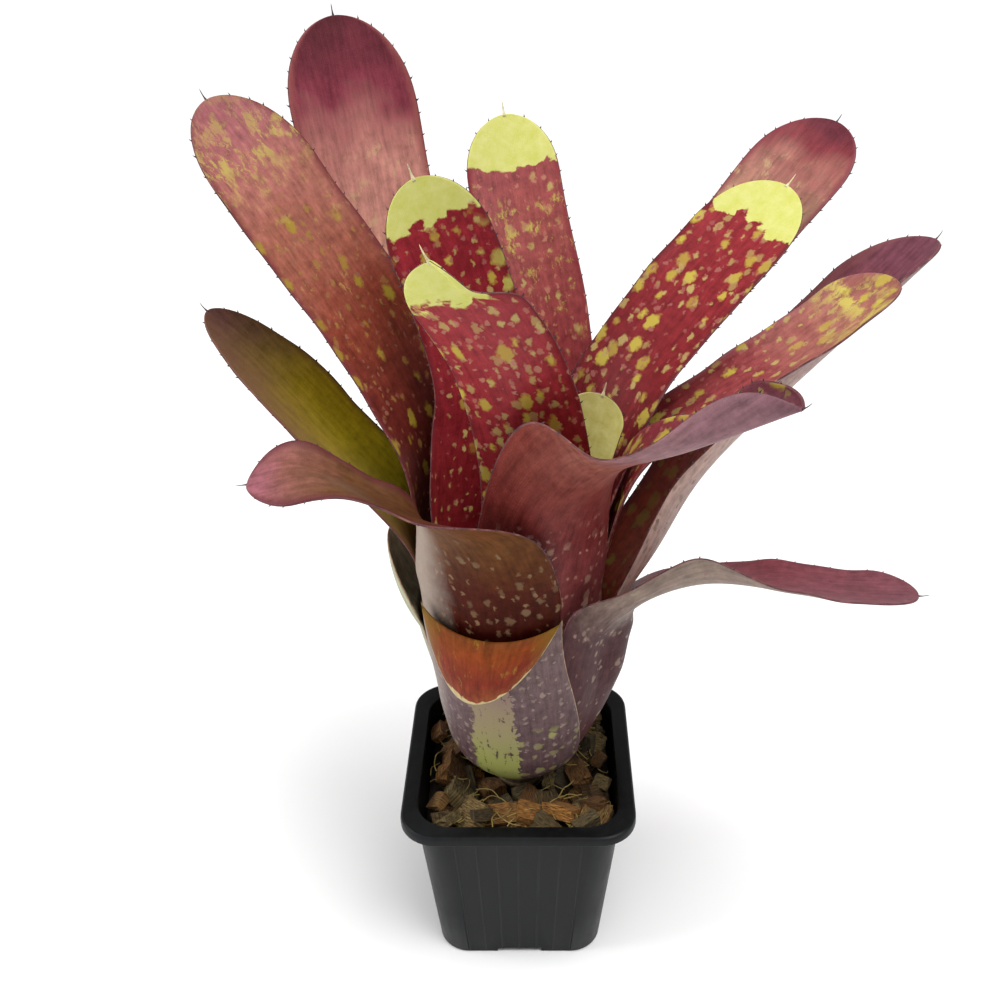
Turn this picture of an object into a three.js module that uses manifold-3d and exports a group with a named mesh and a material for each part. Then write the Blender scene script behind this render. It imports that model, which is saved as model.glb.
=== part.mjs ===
// Neoregelia bromeliad in a square nursery pot filled with coconut-husk chips.
// Millimetres, +Z up. The origin is the middle of the pot's flat underside and the front is -Y.

import * as THREE from 'three';
import { mergeVertices } from 'three/addons/utils/BufferGeometryUtils.js';
import Module from 'manifold-3d';

// ---------------------------------------------------------------- driving dimensions

const POT = {
  height: 78,
  rimHalf: 45,           // half of the outer width over the rim
  rimWidth: 6.4,         // flat lip, from its outer edge to the mouth
  skirt: 4,              // height of the band that hangs from the lip
  skirtThickness: 1.2,
  lip: 1.6,              // thickness of the lip
  wallTopHalf: 39.8,     // outside of the wall just below the lip
  baseHalf: 33,
  wall: 1.2,
  floor: 1.6,
  rimCorner: 14,         // corner radius over the rim
  baseCorner: 12,
  cornerSteps: 6,
  edge: 0.6,             // small bevel on the lip and at the foot
};

const DRAIN = {
  notchWidth: 18,        // slot through the foot of each wall
  notchHeight: 2.2,
  notchReach: 9,         // how far the slot runs in under the mix
  holeRadius: 3.2,
  holeOffset: 17,        // round holes in the floor, towards the corners
  holeSides: 10,
};

const MIX = {
  clearance: 0.35,       // to the pot and to the stem
  fillHeight: 64,        // top of the packed bed, below the standing chips
  chips: 64,
  chipLength: [8, 13],
  chipWidth: [5, 9],
  chipThickness: [3.5, 6],
  chipHeight: [61.5, 67],
  chipTilt: 0.7,         // radians either way from flat
  cellMargin: 0.15,      // share of its cell that a chip's middle keeps from the cell's sides
  plantClearance: 0.7,
  seed: 11,
};

// The axis of the rosette is a little behind the middle of the pot. Below the height where its
// tube begins to open, the plant is shifted to the right of that axis.
const PLANT = { x: -2, y: 6, footShift: 2.2, shiftEnds: [120, 165] };

const STEM = {
  foot: 37,              // lower end, down in the mix
  radius: 9.6,
  footRadius: 6,
  taper: 10,             // height over which the foot widens to the full radius
  shoulder: 1,           // drop of the stem's flank below the first leaf base
  sides: 20,
  seatSides: 32,
  gap: 0.3,              // left round it by every leaf base
};

const SHEATH = {
  // outermost sheath, radius and height from the stem up: a ball that opens into a tube
  profile: [[10, 73], [20, 78.7], [26.5, 87], [30, 101], [33.5, 120], [37.5, 143], [40.5, 175], [43, 220]],
  pitch: 1.4,            // from one layer of leaves to the next one inside it
  thickness: 0.9,
  lean: 0.12,            // how far the tube leans out, which a raised margin follows
};

const BLADE = {
  thickness: 0.9,        // at the midrib
  edgeThickness: 0.65,
  blend: 0.34,           // share of the blade over which the round sheath opens flat
  rows: 6,
  tipAspect: 1.35,       // length of the rounded tip over half of the blade's width
  tipAngles: [34, 58, 78],
  tipCup: 0.15,          // share of the cup that is left at the very tip
  spikeRoot: 0.9,        // half width where the tip spine begins
  spikeLength: 6,
  spikeCurl: 0.2,        // how far the tip spine leans in, over its length
  spineLength: 1.3,      // marginal spines, and their width where they stand on the margin
  spineBase: 1.2,
};

// One entry for each leaf, from the outermost in. Angles in degrees and places as
// [azimuth, radius, height] about the plant's axis. collar is the height at which the blade
// leaves the tube, wrap half of the angle that the sheath goes round at its foot and narrows
// to neck at the collar. route is the middle of the blade, facing the azimuth that its back
// turns to halfway and at the tip, width its full width at the collar and at the tip, cup the
// half angle of its section there, and tilt the turn about its own middle there. A leaf may
// have a blend, a tipAspect or a number of rows of its own. shoulders raise a margin, each as
// [side, share of the blade, spread, rise], where side 0 is the clockwise one seen from above.
// roll is the share where a tip starts to roll up, and the angle that it adds to the cup.
// bulge holds [height, mm] pairs by which the anticlockwise half stands off from the tube.
const LEAVES = [
  {
    name: 'leaf_back_low_left', layer: 0, azimuth: 100, wrap: 54, neck: 40, collar: 143,
    route: [[100, 52, 174], [101, 76, 198], [102, 104, 208], [103, 126, 203]],
    facing: [100, 103], width: [42, 38], cup: [22, 14], tilt: [0, 0],
  },
  {
    name: 'leaf_right_low', layer: 1, azimuth: 340, wrap: 60, neck: 42, collar: 143,
    route: [[339, 43, 154], [344, 53, 163], [346, 70, 170], [345, 92, 174], [345, 118, 175], [345, 143, 178]],
    facing: [344, 344], width: [44, 28], cup: [30, 22], tilt: [-26, -8], blend: 0.5, rows: 10,
    shoulders: [[0, 0.05, 0.25, 20], [0, 0.4, 0.24, 11], [1, 0.2, 0.4, -6]],
    bulge: [[85, 0], [101, 5], [120, 7.8], [143, 8.6], [160, 0]],
  },
  {
    name: 'leaf_front_left', layer: 2, azimuth: 252, wrap: 59, neck: 46, collar: 175,
    route: [[245, 45, 203], [225, 58, 217], [212, 75, 227], [207, 92, 224]],
    facing: [226, 208], width: [44, 32], cup: [36, 24], tilt: [0, 0], blend: 0.6, rows: 8,
    shoulders: [[1, 0.22, 0.2, 4], [1, 0.5, 0.3, -8], [1, 0.8, 0.25, -7]],
  },
  {
    name: 'leaf_right_broad', layer: 2, azimuth: 8, wrap: 55, neck: 44, collar: 143,
    route: [[10, 54, 170], [12, 73, 201], [15, 112, 236], [15, 155, 277]],
    facing: [18, 20], width: [48, 46], cup: [60, 46], tilt: [-15, -10], rows: 8,
    shoulders: [[0, 0.2, 0.3, 9], [0, 0.55, 0.35, 4]],
  },
  {
    name: 'leaf_left_olive', layer: 3, azimuth: 168, wrap: 57, neck: 28, collar: 175,
    route: [[168, 50, 196], [168, 66, 213], [168, 88, 238], [168, 108, 257]],
    facing: [152, 142], width: [38, 33], cup: [26, 16], tilt: [0, 0], tipAspect: 3.2,
  },
  {
    name: 'leaf_front_right_large', layer: 3, azimuth: 291, wrap: 55, neck: 46, collar: 175,
    route: [[297, 42, 208], [304, 56, 230], [309, 86, 250], [311, 118, 273]],
    facing: [304, 311], width: [58, 28], cup: [56, 62], tilt: [0, 0], blend: 0.5, rows: 11,
    shoulders: [[0, 0.35, 0.22, 18], [0, 0.64, 0.26, -7]], roll: [0.66, 75],
  },
  {
    name: 'leaf_back_low_right', layer: 3, azimuth: 58, wrap: 42, neck: 30, collar: 143,
    route: [[60, 46, 168], [62, 66, 190], [64, 92, 204], [66, 118, 208]],
    facing: [62, 66], width: [36, 34], cup: [24, 14], tilt: [0, 0],
  },
  {
    name: 'leaf_back_left_tall', layer: 4, azimuth: 130, wrap: 46, neck: 32, collar: 175,
    route: [[130, 50, 215], [129, 72, 255], [128, 87, 296], [128, 102, 345]],
    facing: [116, 112], width: [44, 48], cup: [20, 10], tilt: [0, 0],
  },
  {
    name: 'leaf_right_folded', layer: 4, azimuth: 10, wrap: 54, neck: 32, collar: 175,
    route: [[7, 46, 208], [6, 73, 229], [6, 100, 246], [6, 131, 271]],
    facing: [10, 16], width: [42, 36], cup: [22, 44], tilt: [-8, 0],
  },
  {
    name: 'leaf_left_tall', layer: 5, azimuth: 156, wrap: 48, neck: 38, collar: 175,
    route: [[152, 36, 212], [154, 55, 250], [158, 81, 290], [160, 106, 325]],
    facing: [142, 138], width: [46, 45], cup: [22, 12], tilt: [0, 0],
  },
  {
    name: 'leaf_centre_back', layer: 5, azimuth: 68, wrap: 38, neck: 25, collar: 175,
    route: [[71, 46, 206], [80, 62, 242], [88, 80, 274], [92, 100, 307]],
    facing: [84, 90], width: [37, 36], cup: [20, 12], tilt: [0, 0],
  },
  {
    name: 'leaf_inner_front', layer: 5, azimuth: 286, wrap: 49, neck: 40, collar: 143,
    route: [[290, 29, 190], [283, 33, 229], [269, 43, 264], [250, 59, 301]],
    facing: [266, 262], width: [42, 34], cup: [26, 20], tilt: [0, 0], tipAspect: 1.1,
  },
  {
    name: 'leaf_right_back', layer: 6, azimuth: 36, wrap: 44, neck: 34, collar: 175,
    route: [[35, 49, 225], [37, 87, 254], [38, 122, 279], [38, 157, 305]],
    facing: [46, 62], width: [38, 44], cup: [18, 10], tilt: [0, 0],
  },
  {
    name: 'leaf_inner_left', layer: 6, azimuth: 196, wrap: 44, neck: 40, collar: 120,
    route: [[160, 18, 190], [120, 20, 230], [126, 30, 263], [141, 41, 302]],
    facing: [110, 106], width: [38, 38], cup: [26, 12], tilt: [0, 0],
  },
  {
    name: 'leaf_right_blotched', layer: 7, azimuth: 34, wrap: 50, neck: 44, collar: 175,
    route: [[33, 44, 222], [33, 70, 250], [33, 95, 270], [33, 120, 289]],
    facing: [49, 60], width: [42, 41], cup: [20, 12], tilt: [0, 0],
  },
  {
    name: 'leaf_young', layer: 8, azimuth: 30, wrap: 50, neck: 50, collar: 143,
    route: [[24, 20, 175], [14, 24, 200], [8, 28, 218], [6, 32, 234]],
    facing: [60, 70], width: [24, 22], cup: [30, 14], tilt: [0, 0], tipAspect: 0.8,
  },
];

// Leaves that were trimmed back to their sheaths. Above its crest the sheath folds out into a
// flap that ends at the cut. crest and cut are [height in the middle, height at the margins],
// dip shifts the middle of the cut, and flare is how far the flap bends out.
const STUBS = [
  {
    name: 'leaf_front_trimmed', layer: 0, azimuth: 257, wrap: 70, neck: 40,
    crest: [161, 166], cut: [137, 168], dip: -0.2, flare: 7,
  },
  {
    name: 'leaf_left_trimmed', layer: 1, azimuth: 166, wrap: 50, neck: 42,
    crest: [150, 149], cut: [177, 150], dip: 0, flare: 11,
  },
];
const FLAP = {
  rows: 5,
  cutPower: 1.9,         // how late the cut rises from its lowest place to the margins
  dropPower: 1.3,        // how late the flap turns down
};

const LEAF_COLUMNS = 8;
const FLATTEST = 0.02;   // radians; a section is never quite straight
const BULGE_ACROSS = [-0.2, 0.35];   // part of a section over which its bulge grows

const COLOUR = {
  pot: 0x2a2c2e,
  mix: 0x8a5f34,
  stem: 0x6d5b3a,
  leaf: 0x8c3a3e,
};

// ---------------------------------------------------------------- helpers

const wasm = await Module();
wasm.setup();

const radians = THREE.MathUtils.degToRad;
const lerp = THREE.MathUtils.lerp;

function randomSource(seed) {
  let state = seed;
  return (low, high) => {
    state = (state * 1664525 + 1013904223) % 4294967296;
    return low + (high - low) * (state / 4294967296);
  };
}

// A closed THREE geometry as a manifold-3d solid, and back.
function toSolid(geometry, matrix) {
  const bare = geometry.clone();
  bare.deleteAttribute('normal');
  bare.deleteAttribute('uv');
  if (matrix) bare.applyMatrix4(matrix);
  const merged = mergeVertices(bare, 1e-4);
  return new wasm.Manifold(new wasm.Mesh({
    numProp: 3,
    vertProperties: new Float32Array(merged.attributes.position.array),
    triVerts: new Uint32Array(merged.index.array),
  }));
}

function toGeometry(solid) {
  const mesh = solid.getMesh();
  return indexedGeometry(mesh.vertProperties, mesh.triVerts);
}

function indexedGeometry(positions, triangles) {
  const geometry = new THREE.BufferGeometry();
  geometry.setAttribute('position', new THREE.BufferAttribute(new Float32Array(positions), 3));
  geometry.setIndex(new THREE.BufferAttribute(new Uint32Array(triangles), 1));
  geometry.computeVertexNormals();
  return geometry;
}

function piece(name, geometry, colour, roughness) {
  const material = new THREE.MeshStandardMaterial({ color: colour, roughness, metalness: 0 });
  const mesh = new THREE.Mesh(geometry, material);
  mesh.name = name;
  return mesh;
}

// ---------------------------------------------------------------- pot and mix

// Outline of a square with round corners, anticlockwise from above.
function roundedSquare(half, corner) {
  const points = [];
  for (let quarter = 0; quarter < 4; quarter += 1) {
    const middle = radians(45 + 90 * quarter);
    const centreX = Math.sign(Math.cos(middle)) * (half - corner);
    const centreY = Math.sign(Math.sin(middle)) * (half - corner);
    for (let step = 0; step <= POT.cornerSteps; step += 1) {
      const angle = radians(90 * (quarter + step / POT.cornerSteps));
      points.push([centreX + corner * Math.cos(angle), centreY + corner * Math.sin(angle)]);
    }
  }
  return points;
}

// Closed skin over a run of [half width, height] rings, capped flat at both ends.
function squareLoft(rings) {
  const positions = [];
  const triangles = [];
  for (const [half, height, corner] of rings) {
    for (const [x, y] of roundedSquare(half, corner)) positions.push(x, y, height);
  }
  const count = positions.length / 3 / rings.length;
  for (let ring = 0; ring + 1 < rings.length; ring += 1) {
    for (let i = 0; i < count; i += 1) {
      const a = ring * count + i;
      const b = ring * count + (i + 1) % count;
      triangles.push(a, b, b + count, a, b + count, a + count);
    }
  }
  const last = (rings.length - 1) * count;
  for (let i = 1; i + 1 < count; i += 1) {
    triangles.push(0, i + 1, i);
    triangles.push(last, last + i, last + i + 1);
  }
  return indexedGeometry(positions, triangles);
}

const cornerAt = (half) => THREE.MathUtils.mapLinear(
  half, POT.baseHalf, POT.rimHalf, POT.baseCorner, POT.rimCorner);
const wallHalfAt = (z) => THREE.MathUtils.mapLinear(
  z, 0, POT.height - POT.skirt, POT.baseHalf, POT.wallTopHalf);
const ring = (half, z) => [half, z, cornerAt(half)];

function makePot() {
  const { height, rimHalf, edge, skirt, skirtThickness, lip, wall, floor } = POT;
  const mouthHalf = rimHalf - POT.rimWidth;
  const outside = squareLoft([
    ring(wallHalfAt(0) - edge, 0),
    ring(wallHalfAt(edge), edge),
    ring(wallHalfAt(height - skirt), height - skirt),
    ring(wallHalfAt(height - lip), height - lip),
    ring(rimHalf - skirtThickness, height - lip),
    ring(rimHalf - skirtThickness, height - skirt),
    ring(rimHalf, height - skirt),
    ring(rimHalf, height - edge),
    ring(rimHalf - edge, height),
    ring(mouthHalf + edge, height),
    ring(mouthHalf, height - edge),
    ring(wallHalfAt(height - skirt) - wall, height - skirt),
    ring(wallHalfAt(floor) - wall, floor),
  ]);
  let pot = toSolid(outside);
  for (let side = 0; side < 4; side += 1) {
    const turn = new THREE.Matrix4().makeRotationZ(radians(90 * side));
    const notch = new THREE.BoxGeometry(DRAIN.notchWidth, DRAIN.notchReach, 2 * DRAIN.notchHeight);
    const reach = POT.baseHalf + 1 - DRAIN.notchReach / 2;
    const place = turn.clone().multiply(new THREE.Matrix4().makeTranslation(0, -reach, 0));
    pot = pot.subtract(toSolid(notch, place));
    const hole = new THREE.CylinderGeometry(
      DRAIN.holeRadius, DRAIN.holeRadius, 4 * floor, DRAIN.holeSides);
    hole.rotateX(Math.PI / 2);
    const corner = turn.clone().multiply(
      new THREE.Matrix4().makeTranslation(DRAIN.holeOffset, DRAIN.holeOffset, 0));
    pot = pot.subtract(toSolid(hole, corner));
  }
  return piece('pot', toGeometry(pot), COLOUR.pot, 0.45);
}

// The room in the pot that the mix may fill, up to a height above the rim.
function potInside(bottom, top) {
  const inner = (z) => wallHalfAt(Math.min(z, POT.height - POT.skirt)) - POT.wall - MIX.clearance;
  return squareLoft([ring(inner(bottom), bottom), ring(inner(top), top)]);
}

function makeMix() {
  const random = randomSource(MIX.seed);
  const bottom = POT.floor + MIX.clearance;
  let bed = toSolid(potInside(bottom, MIX.fillHeight));
  const chips = [];
  const columns = Math.ceil(Math.sqrt(MIX.chips));
  const reach = wallHalfAt(MIX.fillHeight) - POT.wall;
  for (let i = 0; i < MIX.chips; i += 1) {
    const cell = [i % columns, Math.floor(i / columns)];
    const [x, y] = cell.map((n) => lerp(-reach, reach, (n + random(MIX.cellMargin, 1 - MIX.cellMargin)) / columns));
    const chip = new THREE.BoxGeometry(
      random(...MIX.chipLength), random(...MIX.chipWidth), random(...MIX.chipThickness));
    const [tiltX, tiltY] = [0, 1].map(() => random(-MIX.chipTilt, MIX.chipTilt));
    const turn = new THREE.Euler(tiltX, tiltY, random(0, Math.PI));
    const place = new THREE.Matrix4().makeRotationFromEuler(turn);
    place.setPosition(x, y, random(...MIX.chipHeight));
    chips.push(toSolid(chip, place));
  }
  for (const chip of chips) bed = bed.add(chip);
  bed = bed.intersect(toSolid(potInside(bottom, POT.height)));
  bed = bed.subtract(toSolid(plantRoom()));
  const [packed] = bed.decompose().sort((a, b) => b.volume() - a.volume());
  return piece('husk_mix', toGeometry(packed), COLOUR.mix, 0.9);
}

// The plain hole that the stem stands in, opening into a seat for the round foot of the leaves.
function plantRoom() {
  const { foot, footRadius, radius, taper, shoulder } = STEM;
  const away = MIX.plantClearance;
  const ball = SHEATH.profile.slice(0, 5).map(([r, z]) => [r + away + SHEATH.thickness, z - away]);
  const outline = [
    [0, foot - MIX.clearance],
    [footRadius + MIX.clearance, foot - MIX.clearance],
    [radius + MIX.clearance, foot + taper],
    [radius + MIX.clearance, ball[0][1] - shoulder],
    ...ball,
    [0, ball.at(-1)[1]],
  ];
  return lathe(outline, STEM.seatSides);
}

function lathe(outline, sides) {
  const geometry = new THREE.LatheGeometry(outline.map(([r, z]) => new THREE.Vector2(r, z)), sides);
  geometry.rotateX(Math.PI / 2);
  geometry.translate(PLANT.x + PLANT.footShift, PLANT.y, 0);
  return geometry;
}

// ---------------------------------------------------------------- stem and leaves

// Inward normal of the sheath profile at a station, as [radial, up].
function profileNormal(station) {
  const { profile } = SHEATH;
  const before = profile[Math.max(station - 1, 0)];
  const after = profile[Math.min(station + 1, profile.length - 1)];
  const slope = Math.atan2(after[1] - before[1], after[0] - before[0]);
  return [-Math.sin(slope), Math.cos(slope)];
}

// Radius and height of a layer's sheath at a station. Stations are whole numbers along the
// profile and the values between them lie on straight lines, so nested layers never cross.
function sheathPoint(layer, station) {
  const low = Math.min(Math.floor(station), SHEATH.profile.length - 2);
  const ends = [low, low + 1].map((s) => {
    const normal = profileNormal(s);
    return SHEATH.profile[s].map((value, axis) => value + layer * SHEATH.pitch * normal[axis]);
  });
  const share = station - low;
  return [lerp(ends[0][0], ends[1][0], share), lerp(ends[0][1], ends[1][1], share)];
}

function makeStem() {
  const layers = Math.max(...LEAVES.map((leaf) => leaf.layer));
  const top = sheathPoint(layers + 1, 0);
  const outline = [
    [0, STEM.foot],
    [STEM.footRadius, STEM.foot],
    [STEM.radius, STEM.foot + STEM.taper],
    [STEM.radius, SHEATH.profile[0][1] - STEM.shoulder],
    [top[0] - STEM.gap, top[1]],
    [0, top[1] + STEM.shoulder],
  ];
  return piece('stem', toGeometry(toSolid(lathe(outline, STEM.sides))), COLOUR.stem, 0.85);
}

function polar(azimuth, radius, height) {
  const angle = radians(azimuth);
  return new THREE.Vector3(
    PLANT.x + radius * Math.cos(angle), PLANT.y + radius * Math.sin(angle), height);
}

const outward = (azimuth) => new THREE.Vector3(Math.cos(radians(azimuth)), Math.sin(radians(azimuth)), 0);
const sideways = (azimuth) => new THREE.Vector3(-Math.sin(radians(azimuth)), Math.cos(radians(azimuth)), 0);

// A section is an arc across the leaf: its middle, the directions to its side and to its hollow
// face, half of its length along the arc and half of the angle that the arc turns through.
function sectionPoint({ middle, side, hollow, half, cup, lift, bulge }, across) {
  const turn = Math.max(cup, FLATTEST);
  const point = middle.clone()
    .addScaledVector(side, half * Math.sin(turn * across) / turn)
    .addScaledVector(hollow, half * (1 - Math.cos(turn * across)) / turn);
  const rise = lift[across > 0 ? 1 : 0] * across ** 2;
  const away = new THREE.Vector3(point.x - PLANT.x, point.y - PLANT.y, 0).normalize();
  point.addScaledVector(away, rise * SHEATH.lean + bulge * THREE.MathUtils.smoothstep(across, ...BULGE_ACROSS));
  point.z += rise;
  point.x += PLANT.footShift * (1 - THREE.MathUtils.smoothstep(point.z, ...PLANT.shiftEnds));
  return point;
}

// How far a leaf stands off from the tube at a height.
function bulgeAt(leaf, height) {
  const steps = leaf.bulge ?? [];
  for (let i = 0; i + 1 < steps.length; i += 1) {
    const [[low, from], [high, to]] = [steps[i], steps[i + 1]];
    if (height >= low && height < high) return lerp(from, to, (height - low) / (high - low));
  }
  return 0;
}

// How far the shoulders of a leaf raise each of its margins at a share of the blade.
function liftAt(leaf, share) {
  const lift = [0, 0];
  for (const [side, centre, spread, rise] of leaf.shoulders ?? []) {
    const away = Math.abs(share - centre) / spread;
    if (away < 1) lift[side] += rise * Math.cos(Math.PI / 2 * away) ** 2;
  }
  return lift;
}

function sheathSection(leaf, station, neckShare) {
  const [radius, height] = sheathPoint(leaf.layer, station);
  const cup = radians(lerp(leaf.wrap, leaf.neck, neckShare));
  return {
    middle: polar(leaf.azimuth, radius, height),
    side: sideways(leaf.azimuth),
    hollow: outward(leaf.azimuth).negate(),
    half: radius * cup,
    cup,
    lift: [0, 0],
    bulge: bulgeAt(leaf, height),
  };
}

// The station where the profile of a layer reaches a height.
function stationAt(layer, height) {
  for (let s = 0; s + 1 < SHEATH.profile.length; s += 1) {
    const [, low] = sheathPoint(layer, s);
    const [, high] = sheathPoint(layer, s + 1);
    if (height <= high) return s + (height - low) / (high - low);
  }
  return SHEATH.profile.length - 1;
}

function leafSections(leaf) {
  const sections = [];
  const lastStation = Math.round(stationAt(0, leaf.collar));
  for (let s = 0; s <= lastStation; s += 1) {
    const neckShare = THREE.MathUtils.smoothstep(s, 2, lastStation);
    sections.push({ ...sheathSection(leaf, s, neckShare), sheath: true });
  }
  const collar = sections.at(-1);
  const knots = [...sections.slice(-3).map((s) => s.middle), ...leaf.route.map((p) => polar(...p))];
  const curve = new THREE.CatmullRomCurve3(knots, false, 'centripetal');
  curve.arcLengthDivisions = 400;
  const total = curve.getLength();
  const startLength = lengthTo(curve, 2 / (knots.length - 1));
  const bladeLength = total - startLength;
  const tipLength = (leaf.tipAspect ?? BLADE.tipAspect) * leaf.width[1] / 2;
  let down = 0;
  for (let s = lastStation; s > 0; s -= 1) {
    sections[s].lift = liftAt(leaf, -down / bladeLength);
    down += sections[s].middle.distanceTo(sections[s - 1].middle);
  }
  const stops = [];
  const rows = leaf.rows ?? BLADE.rows;
  for (let row = 1; row <= rows; row += 1) {
    stops.push({ along: (bladeLength - tipLength) * row / rows, round: 1 });
  }
  for (const angle of BLADE.tipAngles) {
    const rise = Math.sin(radians(angle));
    stops.push({ along: bladeLength - tipLength * (1 - rise), round: Math.cos(radians(angle)) });
  }
  stops.push({ along: bladeLength, round: 0 });
  const facing = [leaf.azimuth, ...leaf.facing.map((azimuth) => nearAngle(azimuth, leaf.azimuth))];
  for (const { along, round } of stops) {
    const share = along / bladeLength;
    const u = Math.min((startLength + along) / total, 1);
    const middle = curve.getPointAt(u);
    const tangent = curve.getTangentAt(u);
    const azimuth = alongList(facing, share);
    const opened = THREE.MathUtils.smoothstep(share, 0, leaf.blend ?? BLADE.blend);
    const tilt = radians(lerp(leaf.tilt[0], leaf.tilt[1], share));
    const flatSide = sideways(azimuth).projectOnPlane(tangent).normalize();
    flatSide.applyAxisAngle(tangent, tilt);
    const side = sideways(azimuth).lerp(flatSide, opened).normalize();
    const flatHollow = tangent.clone().cross(flatSide);
    const hollow = outward(azimuth).negate().lerp(flatHollow, opened).normalize();
    const width = lerp(leaf.width[0], leaf.width[1], share) / 2;
    const half = Math.max(lerp(collar.half, width, opened) * round, BLADE.spikeRoot);
    const bladeCup = radians(lerp(leaf.cup[0], leaf.cup[1], share)) * Math.max(round, BLADE.tipCup);
    const [rollStart, rollAngle] = leaf.roll ?? [0, 0];
    const rolled = radians(rollAngle) * THREE.MathUtils.smoothstep(share, rollStart, 1);
    const cup = lerp(collar.cup, bladeCup + rolled, opened);
    const lift = liftAt(leaf, share);
    const bulge = bulgeAt(leaf, middle.z);
    sections.push({ middle, side, hollow, half, cup, lift, bulge, tangent, sheath: false });
  }
  return sections;
}

function lengthTo(curve, parameter) {
  const lengths = curve.getLengths();
  return lengths[Math.round(parameter * (lengths.length - 1))];
}

function nearAngle(angle, reference) {
  return angle - 360 * Math.round((angle - reference) / 360);
}

function alongList(list, share) {
  const place = THREE.MathUtils.clamp(share, 0, 1) * (list.length - 1);
  const low = Math.min(Math.floor(place), list.length - 2);
  return lerp(list[low], list[low + 1], place - low);
}

// Both faces, the margins with their spines, the foot and the pointed end of one leaf.
function leafGeometry(grid, spineRows, apex) {
  const rows = grid.length;
  const columns = grid[0].length - 1;
  const positions = [];
  const triangles = [];
  const add = (point) => positions.push(point.x, point.y, point.z) / 3 - 1;
  const outer = [];
  const inner = [];
  for (let r = 0; r < rows; r += 1) {
    outer.push([]);
    inner.push([]);
    for (let c = 0; c <= columns; c += 1) {
      const across = gridStep(grid, r, c, 0, 1);
      const along = gridStep(grid, r, c, 1, 0);
      const normal = along.cross(across).normalize();
      const share = Math.abs(2 * c / columns - 1);
      const offset = lerp(BLADE.thickness, BLADE.edgeThickness, share ** 3) / 2;
      outer[r].push(add(grid[r][c].clone().addScaledVector(normal, -offset)));
      inner[r].push(add(grid[r][c].clone().addScaledVector(normal, offset)));
    }
  }
  const facing = (flip, a, b, c) => (flip ? triangles.push(a, c, b) : triangles.push(a, b, c));
  for (let r = 0; r + 1 < rows; r += 1) {
    for (let c = 1; c + 1 < columns; c += 1) {
      for (const [skin, flip] of [[outer, false], [inner, true]]) {
        facing(flip, skin[r][c], skin[r][c + 1], skin[r + 1][c + 1]);
        facing(flip, skin[r][c], skin[r + 1][c + 1], skin[r + 1][c]);
      }
    }
  }
  // the two columns at the margins, which carry the spines
  for (const right of [false, true]) {
    const edge = right ? columns : 0;
    const next = right ? columns - 1 : 1;
    for (let r = 0; r + 1 < rows; r += 1) {
      const corners = [outer, inner].map((skin) => ({
        a: skin[r][edge], b: skin[r][next], c: skin[r + 1][next], d: skin[r + 1][edge],
      }));
      const spiny = spineRows.includes(r);
      const roots = [];
      if (spiny) {
        const low = grid[r][edge];
        const high = grid[r + 1][edge];
        const share = Math.min(BLADE.spineBase / low.distanceTo(high), 0.5);
        for (const { a, d } of corners) {
          const start = new THREE.Vector3().fromArray(positions, 3 * a);
          roots.push(add(start.lerp(new THREE.Vector3().fromArray(positions, 3 * d), share)));
        }
      }
      corners.forEach(({ a, b, c, d }, skin) => {
        const flip = (skin === 1) !== right;
        facing(flip, a, b, c);
        if (spiny) {
          facing(flip, a, c, roots[skin]);
          facing(flip, roots[skin], c, d);
        } else {
          facing(flip, a, c, d);
        }
      });
      const [o, i] = corners;
      if (spiny) {
        const out = grid[r][edge].clone().sub(grid[r][next]).normalize();
        const up = grid[r + 1][edge].clone().sub(grid[r][edge]).normalize();
        const point = add(grid[r][edge].clone()
          .addScaledVector(out, BLADE.spineLength).addScaledVector(up, BLADE.spineBase));
        facing(right, o.a, roots[0], point);
        facing(right, roots[0], roots[1], point);
        facing(right, roots[1], i.a, point);
        facing(right, i.a, o.a, point);
        facing(right, roots[0], o.d, i.d);
        facing(right, roots[0], i.d, roots[1]);
      } else {
        facing(right, o.a, o.d, i.d);
        facing(right, o.a, i.d, i.a);
      }
    }
  }
  for (let c = 0; c < columns; c += 1) {
    facing(false, outer[0][c], inner[0][c], inner[0][c + 1]);
    facing(false, outer[0][c], inner[0][c + 1], outer[0][c + 1]);
  }
  const last = rows - 1;
  if (apex) {
    const point = add(apex);
    for (let c = 0; c < columns; c += 1) {
      facing(false, outer[last][c], outer[last][c + 1], point);
      facing(true, inner[last][c], inner[last][c + 1], point);
    }
    facing(false, inner[last][0], outer[last][0], point);
    facing(true, inner[last][columns], outer[last][columns], point);
  } else {
    for (let c = 0; c < columns; c += 1) {
      facing(true, outer[last][c], inner[last][c], inner[last][c + 1]);
      facing(true, outer[last][c], inner[last][c + 1], outer[last][c + 1]);
    }
  }
  return indexedGeometry(positions, triangles);
}

function gridStep(grid, row, column, rowStep, columnStep) {
  const r0 = Math.max(row - rowStep, 0);
  const r1 = Math.min(row + rowStep, grid.length - 1);
  const c0 = Math.max(column - columnStep, 0);
  const c1 = Math.min(column + columnStep, grid[0].length - 1);
  return grid[r1][c1].clone().sub(grid[r0][c0]);
}

const acrossShares = Array.from({ length: LEAF_COLUMNS + 1 }, (_, c) => 2 * c / LEAF_COLUMNS - 1);

function makeLeaf(leaf) {
  const sections = leafSections(leaf);
  const grid = sections.map((section) => acrossShares.map((across) => sectionPoint(section, across)));
  const firstBlade = sections.findIndex((section) => !section.sheath);
  const spineRows = [];
  for (let r = firstBlade; r < sections.length - 2; r += 1) spineRows.push(r);
  const tip = sections.at(-1);
  const apex = tip.middle.clone()
    .addScaledVector(tip.tangent, BLADE.spikeLength)
    .addScaledVector(tip.hollow, BLADE.spikeLength * BLADE.spikeCurl);
  return piece(leaf.name, leafGeometry(grid, spineRows, apex), COLOUR.leaf, 0.5);
}

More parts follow.
